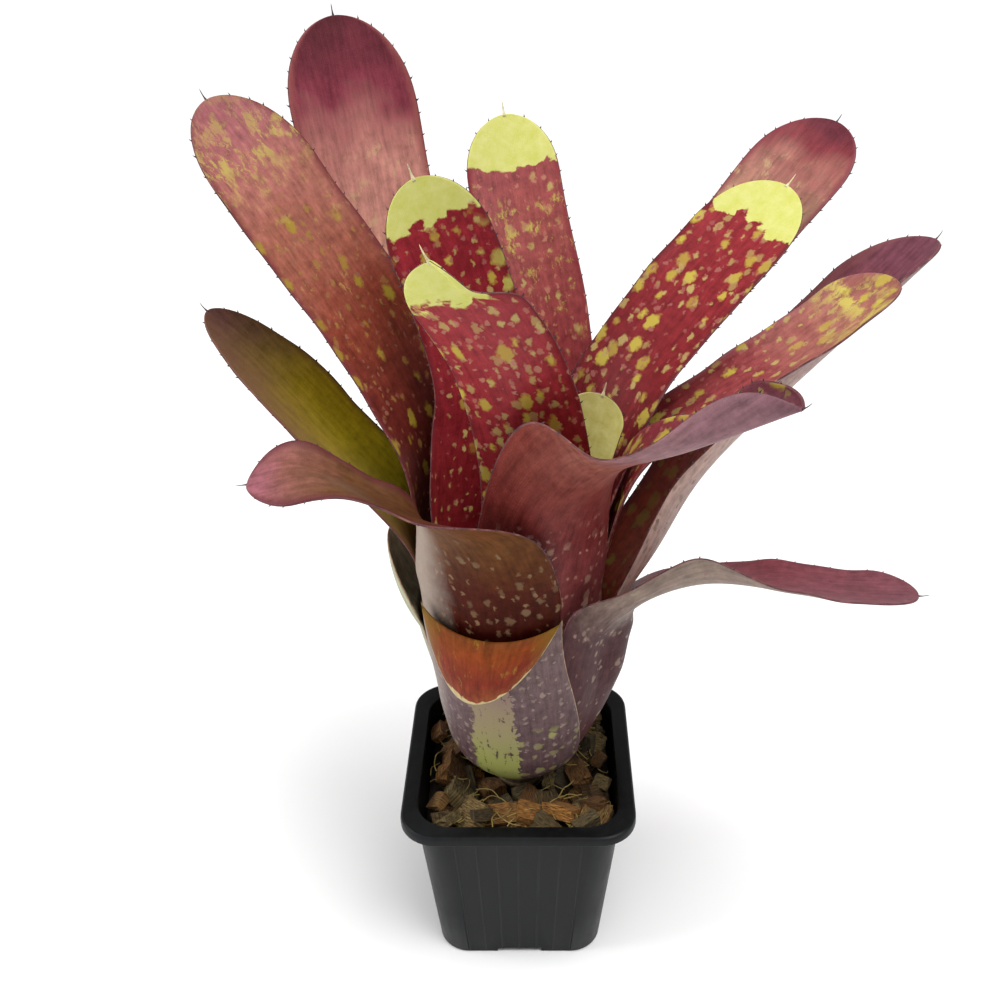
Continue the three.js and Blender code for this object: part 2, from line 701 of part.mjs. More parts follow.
// A sheath whose blade was cut away: whole stations up to the last one below the crest, the
// crest itself, then the rows of the flap down or up to the cut.
function makeStub(stub) {
  const crestHeight = (across) => lerp(stub.crest[0], stub.crest[1], across ** 2);
  const crests = acrossShares.map((across) => stationAt(stub.layer, crestHeight(across)));
  const wholeStations = Math.floor(Math.min(...crests) - 0.1);
  const at = (station, across) => {
    const share = THREE.MathUtils.smoothstep(station, 2, Math.max(...crests));
    return sectionPoint(sheathSection(stub, station, share), across);
  };
  const grid = [];
  for (let s = 0; s <= wholeStations; s += 1) grid.push(acrossShares.map((across) => at(s, across)));
  const crest = acrossShares.map((across, c) => at(crests[c], across));
  grid.push(crest);
  for (let row = 1; row <= FLAP.rows; row += 1) {
    const share = row / FLAP.rows;
    grid.push(acrossShares.map((across, c) => {
      const lean = across - stub.dip;
      const away = Math.abs(lean) / (1 - Math.sign(lean) * stub.dip);
      const drop = lerp(stub.cut[0], stub.cut[1], away ** FLAP.cutPower) - crestHeight(across);
      const bend = stub.flare * (1 - (1 - share) ** 2) * (1 - across ** 2);
      const point = crest[c].clone().addScaledVector(outward(stub.azimuth), bend);
      point.z += drop * share ** FLAP.dropPower;
      return point;
    }));
  }
  return piece(stub.name, leafGeometry(grid, [], null), COLOUR.leaf, 0.5);
}

// ---------------------------------------------------------------- the whole object

const bromeliad = new THREE.Group();
bromeliad.add(makePot(), makeMix(), makeStem());
for (const stub of STUBS) bromeliad.add(makeStub(stub));
for (const leaf of LEAVES) bromeliad.add(makeLeaf(leaf));

export default bromeliad;
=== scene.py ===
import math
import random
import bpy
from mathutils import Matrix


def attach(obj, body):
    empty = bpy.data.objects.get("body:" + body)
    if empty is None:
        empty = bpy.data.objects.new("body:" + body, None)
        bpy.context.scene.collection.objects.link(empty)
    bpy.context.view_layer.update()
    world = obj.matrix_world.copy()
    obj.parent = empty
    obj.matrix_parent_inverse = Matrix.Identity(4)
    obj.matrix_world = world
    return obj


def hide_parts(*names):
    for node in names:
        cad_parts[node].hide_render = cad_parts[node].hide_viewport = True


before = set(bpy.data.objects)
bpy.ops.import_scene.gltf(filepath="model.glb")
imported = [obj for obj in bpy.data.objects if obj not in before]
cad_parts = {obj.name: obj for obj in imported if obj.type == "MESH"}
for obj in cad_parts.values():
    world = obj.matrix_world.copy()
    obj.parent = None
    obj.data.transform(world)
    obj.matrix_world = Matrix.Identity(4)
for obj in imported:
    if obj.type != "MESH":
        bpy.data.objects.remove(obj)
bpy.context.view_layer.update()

# %% [markdown]
# # A neoregelia in its nursery pot
#
# The plant is a rosette of strap leaves. Each leaf starts as a wide sheath that is wrapped round
# the ones inside it, and opens into a blade with small dark spines along both margins. It stands
# in a thin black pot that is filled with chips of coconut husk.
#
# The imported model gives every piece its size and place. Here each one but the stem is made again
# with more faces, and every piece gets the marks and finishes that a bare solid cannot carry.
# Lengths are written in millimetres and angles in degrees, because that is how a plant is measured
# by hand.

# %% Set up
from types import SimpleNamespace

import bpy
import bmesh
from mathutils import Matrix, Vector

MM = 0.001


def deselect():
    bpy.ops.object.select_all(action="DESELECT")


def select_only(piece):
    """Makes a piece the only selected one, and the one that an operator works on."""
    deselect()
    piece.select_set(True)
    bpy.context.view_layer.objects.active = piece


deselect()

# %% [markdown]
# ## Camera, floor and light
#
# The plant is looked at from a little above, so that the eye falls into the rosette. The camera
# keeps that angle: 30 degrees down, with no turn. The floor and the world are both white and
# bright, as in a light tent. One hard lamp would throw dark shadows between the leaves, so two
# softboxes and a broad ceiling light add the gentle sheen instead.

# %% Camera, floor and light
CAMERA_PLACE = (0.007, -0.350, 0.402)   # in metres, as the lamps are
LOOK_DOWN = 30.3
LENS = 41.4
SIDE_SHIFT = -0.0366                    # the plant stands a little beside the middle of the frame
FLOOR_SIZE = 8
TENT_GLOW = 0.47
CEILING_POWER = 2.3
CEILING_SPREAD = 45
CEILING_TILT = (6, 18)
PLANT_MIDDLE = (0, 0, 0.2)

camera_data = bpy.data.cameras.new("camera")
camera_data.sensor_width = 36
camera_data.lens = LENS
camera_data.shift_x = SIDE_SHIFT
camera = bpy.data.objects.new("camera", camera_data)
camera.location = CAMERA_PLACE
camera.rotation_euler = (math.radians(90 - LOOK_DOWN), 0, 0)
scene = bpy.context.scene
scene.collection.objects.link(camera)
scene.camera = camera
scene.view_settings.view_transform = "Standard"

bpy.ops.mesh.primitive_plane_add(size=FLOOR_SIZE)
floor = bpy.context.object
floor.name = "floor"

world = bpy.data.worlds.new("studio")
world.use_nodes = True
world.node_tree.nodes["Background"].inputs["Color"].default_value = (1, 1, 1, 1)
world.node_tree.nodes["Background"].inputs["Strength"].default_value = TENT_GLOW
scene.world = world


def softbox(name, place, size, watts):
    """A square lamp that looks at the middle of the plant."""
    light = bpy.data.lights.new(name, "AREA")
    light.size = size
    light.energy = watts
    lamp = bpy.data.objects.new(name, light)
    lamp.location = place
    lamp.rotation_euler = (Vector(PLANT_MIDDLE) - Vector(place)).to_track_quat("-Z", "Y").to_euler()
    scene.collection.objects.link(lamp)


softbox("softbox_front", (0.3, -0.5, 1.3), 0.6, 3)
softbox("softbox_left", (-0.9, -0.1, 0.7), 0.5, 6)
sky_light = bpy.data.lights.new("ceiling_light", "SUN")
sky_light.energy = CEILING_POWER
sky_light.angle = math.radians(CEILING_SPREAD)
sky_lamp = bpy.data.objects.new("ceiling_light", sky_light)
sky_lamp.rotation_euler = (math.radians(CEILING_TILT[0]), math.radians(CEILING_TILT[1]), 0)
scene.collection.objects.link(sky_lamp)
print("camera looks", LOOK_DOWN, "degrees down;", len(bpy.data.lights), "lamps")

# %% [markdown]
# ## Helpers for materials
#
# A colour is easiest to read as the hex value that a paint chart gives. Those values are sRGB and
# the shader wants linear ones, so one function turns them. Another adds a node with its settings
# and links, and that is all a node tree needs. Dry horn, dry rims and loose fibre are one kind of
# finish, a dull tone that wanders a little, so they share a function too.

# %% Helpers for materials
def colour(text):
    """The linear colour of an sRGB hex value."""
    channels = [int(text[i:i + 2], 16) / 255 for i in (1, 3, 5)]
    linear = [c / 12.92 if c <= 0.04045 else ((c + 0.055) / 1.055) ** 2.4 for c in channels]
    return (*linear, 1)


def fill(tree, node, inputs):
    """Sets inputs. Each is given a value, or the socket or node (its first output) that feeds it."""
    for key, value in inputs.items():
        source = value.outputs[0] if isinstance(value, bpy.types.Node) else value
        if isinstance(source, bpy.types.NodeSocket):
            tree.links.new(source, node.inputs[key])
        else:
            node.inputs[key].default_value = source


def add(tree, kind, inputs=None, stops=(), **settings):
    """Adds a node with its inputs, its settings and, for a colour ramp, its (place, hex) stops."""
    made = tree.nodes.new("ShaderNode" + kind)
    for key, value in settings.items():
        setattr(made, key, value)
    fill(tree, made, inputs or {})
    for _ in stops[2:]:
        made.color_ramp.elements.new(0.5)
    for place, (share, text) in enumerate(stops):
        made.color_ramp.elements[place].position = share
        made.color_ramp.elements[place].color = colour(text)
    return made


def new_material(name):
    """A material with its tree and its Principled shader."""
    material = bpy.data.materials.new(name)
    material.use_nodes = True
    return material, material.node_tree, material.node_tree.nodes["Principled BSDF"]


def dry_finish(name, roughness, scale, stops, detail=2.0):
    """A dull finish whose tone wanders through its stops, by a noise on the object's own place."""
    material, tree, shader = new_material(name)
    place = add(tree, "TexCoord").outputs["Object"]
    noise = add(tree, "TexNoise", {"Vector": place, "Scale": scale, "Detail": detail})
    fill(tree, shader, {"Base Color": add(tree, "ValToRGB", {0: noise}, stops), "Roughness": roughness})
    return material


# matt white, so that the floor throws soft light up under the leaves
floor_paper, tree, shader = new_material("white_paper_sweep")
fill(tree, shader, {"Base Color": (0.93, 0.93, 0.93, 1), "Roughness": 0.9})
floor.data.materials.append(floor_paper)
print("the floor is", floor_paper.name)

# %% [markdown]
# ## The form of a leaf
#
# A leaf could be drawn as a flat strip and bent by hand, but sixteen of them have to nest without
# crossing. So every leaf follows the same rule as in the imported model. Its sheath lies on a ball
# that opens into a tube, one layer inside the next. The middle of the blade then runs through a
# few points, and each cross-section is an arc that slowly opens from the round of the tube to the
# shallow gutter of the blade.

# %% The form of a leaf
AXIS = (-2, 6)                  # the rosette stands a little behind the middle of the pot
FOOT_SHIFT = 2.2                # below the opening tube, the plant is this far to the right
FOOT = (AXIS[0] + FOOT_SHIFT, AXIS[1])
PITCH = 1.4                     # from one layer of sheaths to the next
# (radius, height) at the stations of the outermost sheath: its foot, the ball and then the tube
SHEATH = [(10, 73), (20, 78.7), (26.5, 87), (30, 101), (33.5, 120), (37.5, 143), (40.5, 175), (43, 220)]


def mix(a, b, share):
    return a + (b - a) * share


def smoothstep(value, low, high):
    share = min(max((value - low) / (high - low), 0), 1)
    return share * share * (3 - 2 * share)


def profile_point(layer, station):
    """Radius and height of a layer's sheath at a whole station."""
    before = SHEATH[max(station - 1, 0)]
    after = SHEATH[min(station + 1, len(SHEATH) - 1)]
    slope = math.atan2(after[1] - before[1], after[0] - before[0])
    shift = layer * PITCH
    return SHEATH[station][0] - shift * math.sin(slope), SHEATH[station][1] + shift * math.cos(slope)


def station_at(layer, height):
    points = [profile_point(layer, s) for s in range(len(SHEATH))]
    for s in range(len(points) - 1):
        if height <= points[s + 1][1]:
            return s + (height - points[s][1]) / (points[s + 1][1] - points[s][1])
    return len(points) - 1


def polar(azimuth, radius, height):
    angle = math.radians(azimuth)
    return Vector((AXIS[0] + radius * math.cos(angle), AXIS[1] + radius * math.sin(angle), height))


def outward(azimuth):
    return Vector((math.cos(math.radians(azimuth)), math.sin(math.radians(azimuth)), 0))


def sideways(azimuth):
    return Vector((-math.sin(math.radians(azimuth)), math.cos(math.radians(azimuth)), 0))


print("the outermost sheath is", 2 * SHEATH[3][0], "mm across at the ball")

# %% [markdown]
# ### A section of a leaf
#
# The middle of a blade has to pass through its points without a kink, although they are unevenly
# spaced. A Bezier curve could do it, but its handles would have to be set for every leaf, so the
# curve is worked out from the points alone. A section is an arc across it, which may be raised at
# a margin or bulge on one side.

# %% A section of a leaf
FLATTEST = 0.02                 # radians that a section always keeps
TUBE_LEAN = 0.12                # how far the tube leans out, which a raised margin follows
BULGE_ACROSS = (-0.2, 0.35)     # part of a section over which its bulge grows
SHIFT_ENDS = (120, 165)         # heights between which the shift of the foot fades


def curve_point(knots, place):
    """A point of the smooth curve through the knots. Whole places are the knots themselves."""
    i = min(int(place), len(knots) - 2)
    t = place - i
    p1, p2 = knots[i], knots[i + 1]
    p0 = knots[i - 1] if i > 0 else 2 * p1 - p2
    p3 = knots[i + 2] if i + 2 < len(knots) else 2 * p2 - p1
    d0, d1, d2 = [math.sqrt((b - a).length) for a, b in ((p0, p1), (p1, p2), (p2, p3))]
    start = ((p1 - p0) / d0 - (p2 - p0) / (d0 + d1) + (p2 - p1) / d1) * d1
    end = ((p2 - p1) / d1 - (p3 - p1) / (d1 + d2) + (p3 - p2) / d2) * d1
    square = 3 * (p2 - p1) - 2 * start - end
    cube = 2 * (p1 - p2) + start + end
    return p1 + start * t + square * t ** 2 + cube * t ** 3


def section_point(section, across):
    """A place on the arc of a section, from -1 at one margin to 1 at the other."""
    turn = max(section["cup"], FLATTEST)
    half = section["half"]
    place = section["middle"] + section["side"] * (half * math.sin(turn * across) / turn)
    place = place + section["hollow"] * (half * (1 - math.cos(turn * across)) / turn)
    rise = section["lift"][across > 0] * across ** 2
    away = Vector((place.x - AXIS[0], place.y - AXIS[1], 0)).normalized()
    place = place + away * (rise * TUBE_LEAN + section["bulge"] * smoothstep(across, *BULGE_ACROSS))
    place.z += rise
    place.x += FOOT_SHIFT * (1 - smoothstep(place.z, *SHIFT_ENDS))
    return place


def bulge_at(leaf, height):
    """How far a leaf stands off from the tube at a height, from its (height, mm) pairs."""
    steps = leaf.get("bulge", ())
    for (low, start), (high, end) in zip(steps, steps[1:]):
        if low <= height < high:
            return mix(start, end, (height - low) / (high - low))
    return 0


def sheath_section(leaf, knots, station, opened_to):
    middle = curve_point(knots, station)
    cup = math.radians(mix(leaf["wrap"], leaf["neck"], smoothstep(station, 2, opened_to)))
    radius = math.hypot(middle.x - AXIS[0], middle.y - AXIS[1])
    return {"middle": middle, "side": sideways(leaf["azimuth"]), "hollow": -outward(leaf["azimuth"]),
            "half": radius * cup, "cup": cup, "lift": (0, 0), "bulge": bulge_at(leaf, middle.z)}


print("every section keeps a bend of at least", FLATTEST, "radians")

# %% [markdown]
# ### Rows of sections
#
# Rows lie close together, about 4 mm apart, so the blade bends smoothly. Towards the rounded tip
# they follow the quarter of an ellipse, and the last row is as narrow as the tip spine.

# %% Rows of sections
ROW_STEP = 4.0
TIP_ROWS = 11
BLEND = 0.34                    # share of the blade over which it opens from the tube
TIP_ASPECT = 1.35               # how long the rounded tip is, in halves of its width
TIP_CUP = 0.15                  # share of its hollow that the last row keeps
SPIKE_ROOT = 0.9                # half of the width where the blade ends in its tip spine
ROUTE_STEPS = 60                # straight steps that measure the way from knot to knot
NEARLY = 1e-6


def lift_at(leaf, share):
    """How many mm each margin is raised at a share of the blade: this makes shoulders and sags."""
    lift = [0, 0]
    for side, centre, spread, rise in leaf.get("shoulders", ()):
        away = abs(share - centre) / spread
        if away < 1:
            lift[side] += rise * math.cos(math.pi / 2 * away) ** 2
    return tuple(lift)


def blade_stops(leaf, length):
    """(mm along the blade, share of the full width) of each row of the blade."""
    tip_length = leaf.get("tip_aspect", TIP_ASPECT) * leaf["width"][1] / 2
    count = round((length - tip_length) / ROW_STEP)
    stops = [((length - tip_length) * k / count, 1) for k in range(1, count + 1)]
    for k in range(1, TIP_ROWS + 1):
        angle = math.radians(90 * k / TIP_ROWS)
        stops.append((length - tip_length * (1 - math.sin(angle)), math.cos(angle)))
    return stops


def leaf_rows(leaf):
    """The cross-sections of a leaf from its foot to its tip."""
    last = round(station_at(0, leaf["collar"]))
    sheath = [polar(leaf["azimuth"], *profile_point(leaf["layer"], s)) for s in range(last + 1)]
    knots = sheath + [polar(*point) for point in leaf["route"]]
    rows = []
    for s in range(last):
        steps = max(2, round((knots[s + 1] - knots[s]).length / ROW_STEP))
        rows += [sheath_section(leaf, knots, s + k / steps, last) for k in range(steps)]
    rows.append(sheath_section(leaf, knots, last, last))
    collar = rows[-1]
    spots = [last + k / ROUTE_STEPS for k in range(ROUTE_STEPS * (len(knots) - 1 - last) + 1)]
    points = [curve_point(knots, spot) for spot in spots]
    reach = [0.0]
    for a, b in zip(points, points[1:]):
        reach.append(reach[-1] + (b - a).length)
    length = reach[-1]
    facing = [leaf["azimuth"]]
    facing += [a - 360 * round((a - leaf["azimuth"]) / 360) for a in leaf["facing"]]
    for along, rounding in blade_stops(leaf, length):
        share = along / length
        k = min(max(i for i, value in enumerate(reach) if value <= along + NEARLY), len(points) - 2)
        part = min((along - reach[k]) / (reach[k + 1] - reach[k]), 1)
        middle = points[k].lerp(points[k + 1], part)
        tangent = (points[min(k + 2, len(points) - 1)] - points[max(k - 1, 0)]).normalized()
        azimuth = mix(facing[0], facing[1], share * 2)
        if share * 2 >= 1:
            azimuth = mix(facing[1], facing[2], share * 2 - 1)
        opened = smoothstep(share, 0, leaf.get("blend", BLEND))
        flat = sideways(azimuth)
        flat = (flat - flat.project(tangent)).normalized()
        flat.rotate(Matrix.Rotation(math.radians(mix(*leaf["tilt"], share)), 3, tangent))
        side = sideways(azimuth).lerp(flat, opened).normalized()
        hollow = (-outward(azimuth)).lerp(tangent.cross(flat), opened).normalized()
        half = max(mix(collar["half"], mix(*leaf["width"], share) / 2, opened) * rounding, SPIKE_ROOT)
        cup = math.radians(mix(*leaf["cup"], share)) * max(rounding, TIP_CUP)
        if "roll" in leaf:
            cup += math.radians(leaf["roll"][1]) * smoothstep(share, leaf["roll"][0], 1)
        rows.append({"middle": middle, "side": side, "hollow": hollow, "half": half,
                     "cup": mix(collar["cup"], cup, opened), "share": share, "tangent": tangent,
                     "lift": lift_at(leaf, share), "bulge": bulge_at(leaf, middle.z)})
    down = 0.0
    for i in range(rows.index(collar), -1, -1):
        rows[i]["share"] = -down / length
        rows[i]["lift"] = lift_at(leaf, rows[i]["share"])
        if i:
            down += (rows[i]["middle"] - rows[i - 1]["middle"]).length
    return rows


print("a blade has a row every", ROW_STEP, "mm and", TIP_ROWS, "more in its tip")

# %% [markdown]
# ### The sixteen leaves
#
# No two leaves of a rosette are alike, and each could be bent by hand. Written down as a few
# values they are easier to compare and to correct. The sheath has its layer, the azimuth that it
# faces and the angles that it wraps at its ball and its neck. The route has (azimuth, mm from the
# axis, height) points above the collar. Facing, width, cup and tilt are read along the blade.
# Shoulders are (margin, middle, spread, mm), a roll and a tip fold start at a share of the blade.

# %% The sixteen leaves
LEAVES = {
    "leaf_back_low_left": dict(
        layer=0, azimuth=100, wrap=54, neck=40, collar=143,
        route=[(100, 52, 174), (101, 76, 198), (102, 104, 208), (103, 126, 203)],
        facing=(100, 103), width=(42, 38), cup=(22, 14), tilt=(0, 0)),
    "leaf_right_low": dict(
        layer=1, azimuth=340, wrap=60, neck=42, collar=143,
        route=[(339, 43, 154), (344, 53, 163), (346, 70, 170), (345, 92, 174),
               (345, 118, 175), (345, 143, 178)],
        facing=(344, 344), width=(44, 28), cup=(30, 22), tilt=(-26, -8), blend=0.5,
        shoulders=((0, 0.05, 0.25, 20), (0, 0.4, 0.24, 11), (1, 0.2, 0.4, -6)),
        bulge=((85, 0), (101, 5), (120, 7.8), (143, 8.6), (160, 0))),
    "leaf_front_left": dict(
        layer=2, azimuth=252, wrap=59, neck=46, collar=175,
        route=[(245, 45, 203), (225, 58, 217), (212, 75, 227), (207, 92, 224)],
        facing=(226, 208), width=(44, 32), cup=(36, 24), tilt=(0, 0), blend=0.6,
        shoulders=((1, 0.22, 0.2, 4), (1, 0.5, 0.3, -8), (1, 0.8, 0.25, -7))),
    "leaf_right_broad": dict(
        layer=2, azimuth=8, wrap=55, neck=44, collar=143,
        route=[(10, 54, 170), (12, 73, 201), (15, 112, 236), (15, 155, 277)],
        facing=(18, 20), width=(48, 46), cup=(60, 46), tilt=(-15, -10),
        shoulders=((0, 0.2, 0.3, 9), (0, 0.55, 0.35, 4))),
    "leaf_left_olive": dict(
        layer=3, azimuth=168, wrap=57, neck=28, collar=175,
        route=[(168, 50, 196), (168, 66, 213), (168, 88, 238), (168, 108, 257)],
        facing=(152, 142), width=(38, 33), cup=(26, 16), tilt=(0, 0), tip_aspect=3.2),
    "leaf_front_right_large": dict(
        layer=3, azimuth=291, wrap=55, neck=46, collar=175,
        route=[(297, 42, 208), (304, 56, 230), (309, 86, 250), (311, 118, 273)],
        facing=(304, 311), width=(58, 28), cup=(56, 62), tilt=(0, 0), blend=0.5,
        shoulders=((0, 0.35, 0.22, 18), (0, 0.64, 0.26, -7)), roll=(0.66, 75)),
    "leaf_back_low_right": dict(
        layer=3, azimuth=58, wrap=42, neck=30, collar=143,
        route=[(60, 46, 168), (62, 66, 190), (64, 92, 204), (66, 118, 208)],
        facing=(62, 66), width=(36, 34), cup=(24, 14), tilt=(0, 0)),
    "leaf_back_left_tall": dict(
        layer=4, azimuth=130, wrap=46, neck=32, collar=175,
        route=[(130, 50, 215), (129, 72, 255), (128, 87, 296), (128, 102, 345)],
        facing=(116, 112), width=(44, 48), cup=(20, 10), tilt=(0, 0)),
    "leaf_right_folded": dict(
        layer=4, azimuth=10, wrap=54, neck=32, collar=175,
        route=[(7, 46, 208), (6, 73, 229), (6, 100, 246), (6, 131, 271)],
        facing=(10, 16), width=(42, 36), cup=(22, 44), tilt=(-8, 0)),
    "leaf_left_tall": dict(
        layer=5, azimuth=156, wrap=48, neck=38, collar=175,
        route=[(152, 36, 212), (154, 55, 250), (158, 81, 290), (160, 106, 325)],
        facing=(142, 138), width=(46, 45), cup=(22, 12), tilt=(0, 0)),
    "leaf_centre_back": dict(
        layer=5, azimuth=68, wrap=38, neck=25, collar=175,
        route=[(71, 46, 206), (80, 62, 242), (88, 80, 274), (92, 100, 307)],
        facing=(84, 90), width=(37, 36), cup=(20, 12), tilt=(0, 0)),
    "leaf_inner_front": dict(
        layer=5, azimuth=286, wrap=49, neck=40, collar=143,
        route=[(290, 29, 190), (283, 33, 229), (269, 43, 264), (250, 59, 301)],
        facing=(266, 262), width=(42, 34), cup=(26, 20), tilt=(0, 0), tip_aspect=1.1,
        tip_fold=(0.86, 0.4, 0.5)),
    "leaf_right_back": dict(
        layer=6, azimuth=36, wrap=44, neck=34, collar=175,
        route=[(35, 49, 225), (37, 87, 254), (38, 122, 279), (38, 157, 305)],
        facing=(46, 62), width=(38, 44), cup=(18, 10), tilt=(0, 0)),
    "leaf_inner_left": dict(
        layer=6, azimuth=196, wrap=44, neck=40, collar=120,
        route=[(160, 18, 190), (120, 20, 230), (126, 30, 263), (141, 41, 302)],
        facing=(110, 106), width=(38, 38), cup=(26, 12), tilt=(0, 0)),
    "leaf_right_blotched": dict(
        layer=7, azimuth=34, wrap=50, neck=44, collar=175,
        route=[(33, 44, 222), (33, 70, 250), (33, 95, 270), (33, 120, 289)],
        facing=(49, 60), width=(42, 41), cup=(20, 12), tilt=(0, 0)),
    "leaf_young": dict(
        layer=8, azimuth=30, wrap=50, neck=50, collar=143,
        route=[(24, 20, 175), (14, 24, 200), (8, 28, 218), (6, 32, 234)],
        facing=(60, 70), width=(24, 22), cup=(30, 14), tilt=(0, 0), tip_aspect=0.8),
}
print(len(LEAVES), "leaves")

# %% [markdown]
# ### The trimmed sheaths
#
# Two old leaves end in a cut instead of a blade. Their rows climb the same sheath up to a crest,
# and a short flap then turns outwards to the line of the cut, which dips or rises towards its
# middle. A straight cut through a whole leaf would lose that flap.

# %% The rows of a trimmed sheath
STUBS = {
    "leaf_front_trimmed": dict(
        layer=0, azimuth=257, wrap=70, neck=40, crest=(161, 166), cut=(137, 168), dip=-0.2, flare=7),
    "leaf_left_trimmed": dict(
        layer=1, azimuth=166, wrap=50, neck=42, crest=(150, 149), cut=(177, 150), dip=0, flare=11),
}
STUB_STEP = 0.12                # from row to row, in stations of the sheath
CUT_POWER = 1.9                 # how late the cut rises from its lowest place to the margins
DROP_POWER = 1.3                # how late the flap leaves the crest's height
FLAP_ROWS = 14


def stub_rows(stub, columns):
    """Points of a trimmed sheath, row by row up to its crest, then over it to the cut edge."""
    knots = [polar(stub["azimuth"], *profile_point(stub["layer"], s)) for s in range(len(SHEATH))]
    grid = []
    shares = [2 * c / columns - 1 for c in range(columns + 1)]
    crest = [station_at(stub["layer"], mix(*stub["crest"], a * a)) for a in shares]
    steps = round(min(crest) / STUB_STEP)
    for k in range(steps + 1):
        row = []
        for a, top in zip(shares, crest):
            section = sheath_section(stub, knots, top * k / steps, max(crest))
            row.append(section_point(section, a))
        grid.append(row)
    for k in range(1, FLAP_ROWS + 1):
        share = k / FLAP_ROWS
        row = []
        for a, root in zip(shares, grid[steps]):
            lean = a - stub["dip"]
            away = abs(lean) / (1 - math.copysign(1, lean) * stub["dip"])
            drop = mix(*stub["cut"], away ** CUT_POWER) - mix(*stub["crest"], a * a)
            bend = stub["flare"] * (1 - (1 - share) ** 2) * (1 - a * a)
            fall = Vector((0, 0, drop * share ** DROP_POWER))
            row.append(root + outward(stub["azimuth"]) * bend + fall)
        grid.append(row)
    return grid


print(len(STUBS), "trimmed sheaths")

# %% [markdown]
# ## Leaf surfaces
#
# A leaf blade is living skin with a thin waxy shine. The crimson comes from pigment just under
# it, and the yellow spots are places without that pigment, so both are one smooth surface and
# only the colour changes. Tiny grey scales, which drink water for the plant, dull the outside.
# The patterns run on each leaf's own two maps: one in real lengths, where 1 is 100 mm, and one in
# shares of the blade, where 0 is the collar and 1 is the tip.

# %% The ground colour of a leaf
LENGTHS = "lengths"
SHARES = "shares"
WANDER = 0.24                   # share of the blade by which a border of colour wanders
STREAK_SCALE = (55, 7, 1)       # streaks of about 2 mm by 15 mm
MARK_PULL = 0.034               # marks are pulled out of round by up to 1.7 mm


def leaf_ground(tree, ground, span, seed):
    """The unmarked skin, with the places and the noises that its marks are drawn by."""
    shares = add(tree, "SeparateXYZ", {0: add(tree, "UVMap", uv_map=SHARES)})
    lengths = add(tree, "UVMap", uv_map=LENGTHS)
    seeded = add(tree, "VectorMath", {0: lengths, 1: (seed, 0.37 * seed, 0)}, operation="ADD")

    # the colour along the leaf, its borders softened by a slow noise
    drift = add(tree, "TexNoise", {"Vector": seeded, "Scale": 6.0, "Detail": 4.0, "Roughness": 0.6})
    wander = add(tree, "Math", {0: drift, 1: WANDER, 2: shares.outputs[1]}, operation="MULTIPLY_ADD")
    place = add(tree, "MapRange", {0: wander, 1: WANDER / 2 - 1, 2: WANDER / 2 + 1})
    tone = add(tree, "ValToRGB", {0: place}, [((share + 1) / 2, text) for share, text in ground])

    # fine streaks and blotches, lighter and darker
    fibre = add(tree, "Mapping", {0: seeded, "Scale": STREAK_SCALE})
    grain = add(tree, "TexNoise", {"Vector": fibre, "Scale": 1.0, "Detail": 5.0, "Roughness": 0.62})
    blotch = add(tree, "TexNoise", {"Vector": seeded, "Scale": 24.0, "Detail": 5.0, "Roughness": 0.68})
    mottle = add(tree, "Math", {0: grain, 1: blotch}, operation="ADD")
    value = add(tree, "MapRange", {0: mottle, 1: 0.72, 2: 1.28, 3: 0.62, 4: 1.32})
    skin = add(tree, "HueSaturation", {"Color": tone, "Value": value})

    warp = add(tree, "TexNoise", {"Vector": seeded, "Scale": 52.0, "Detail": 3.5})
    pull = add(tree, "VectorMath", {0: warp.outputs["Color"], 1: (0.5, 0.5, 0.5)}, operation="SUBTRACT")
    warped = add(tree, "VectorMath", {0: pull, 1: (MARK_PULL, MARK_PULL, 0), 2: seeded},
                 operation="MULTIPLY_ADD")
    return SimpleNamespace(
        across=shares.outputs[0], along=shares.outputs[1], seeded=seeded, wander=wander, grain=grain,
        blotch=blotch, mottle=mottle, skin=skin, pull=pull, warped=warped, span=span, seed=seed)


print("grounds run on the maps", LENGTHS, "and", SHARES)

# %% [markdown]
# ### Marks on a leaf
#
# Spots, streaks and tip patches could be painted, but sixteen leaves would each need a picture.
# Here every kind of mark is a few nodes that give a cover from 0 to 1 and a colour to lay on. A
# spot sits in a cell of a loose grid, and a streak is stretched noise.

# %% Marks on a leaf
SPOT_FADE = 0.13                # share of a cell over which a spot fades
SOFT_END = (0.08, 0.16)         # added to a share, the stretch in which marks come or go


def between(tree, base, start, end, coming=SOFT_END, going=SOFT_END):
    """1 between two shares of the blade and 0 beyond them."""
    low = add(tree, "MapRange", {0: base.wander, 1: start + coming[0], 2: start + coming[1]})
    high = add(tree, "MapRange", {0: base.wander, 1: end + going[0], 2: end + going[1], 3: 1.0, 4: 0.0})
    return add(tree, "Math", {0: low, 1: high}, operation="MULTIPLY")


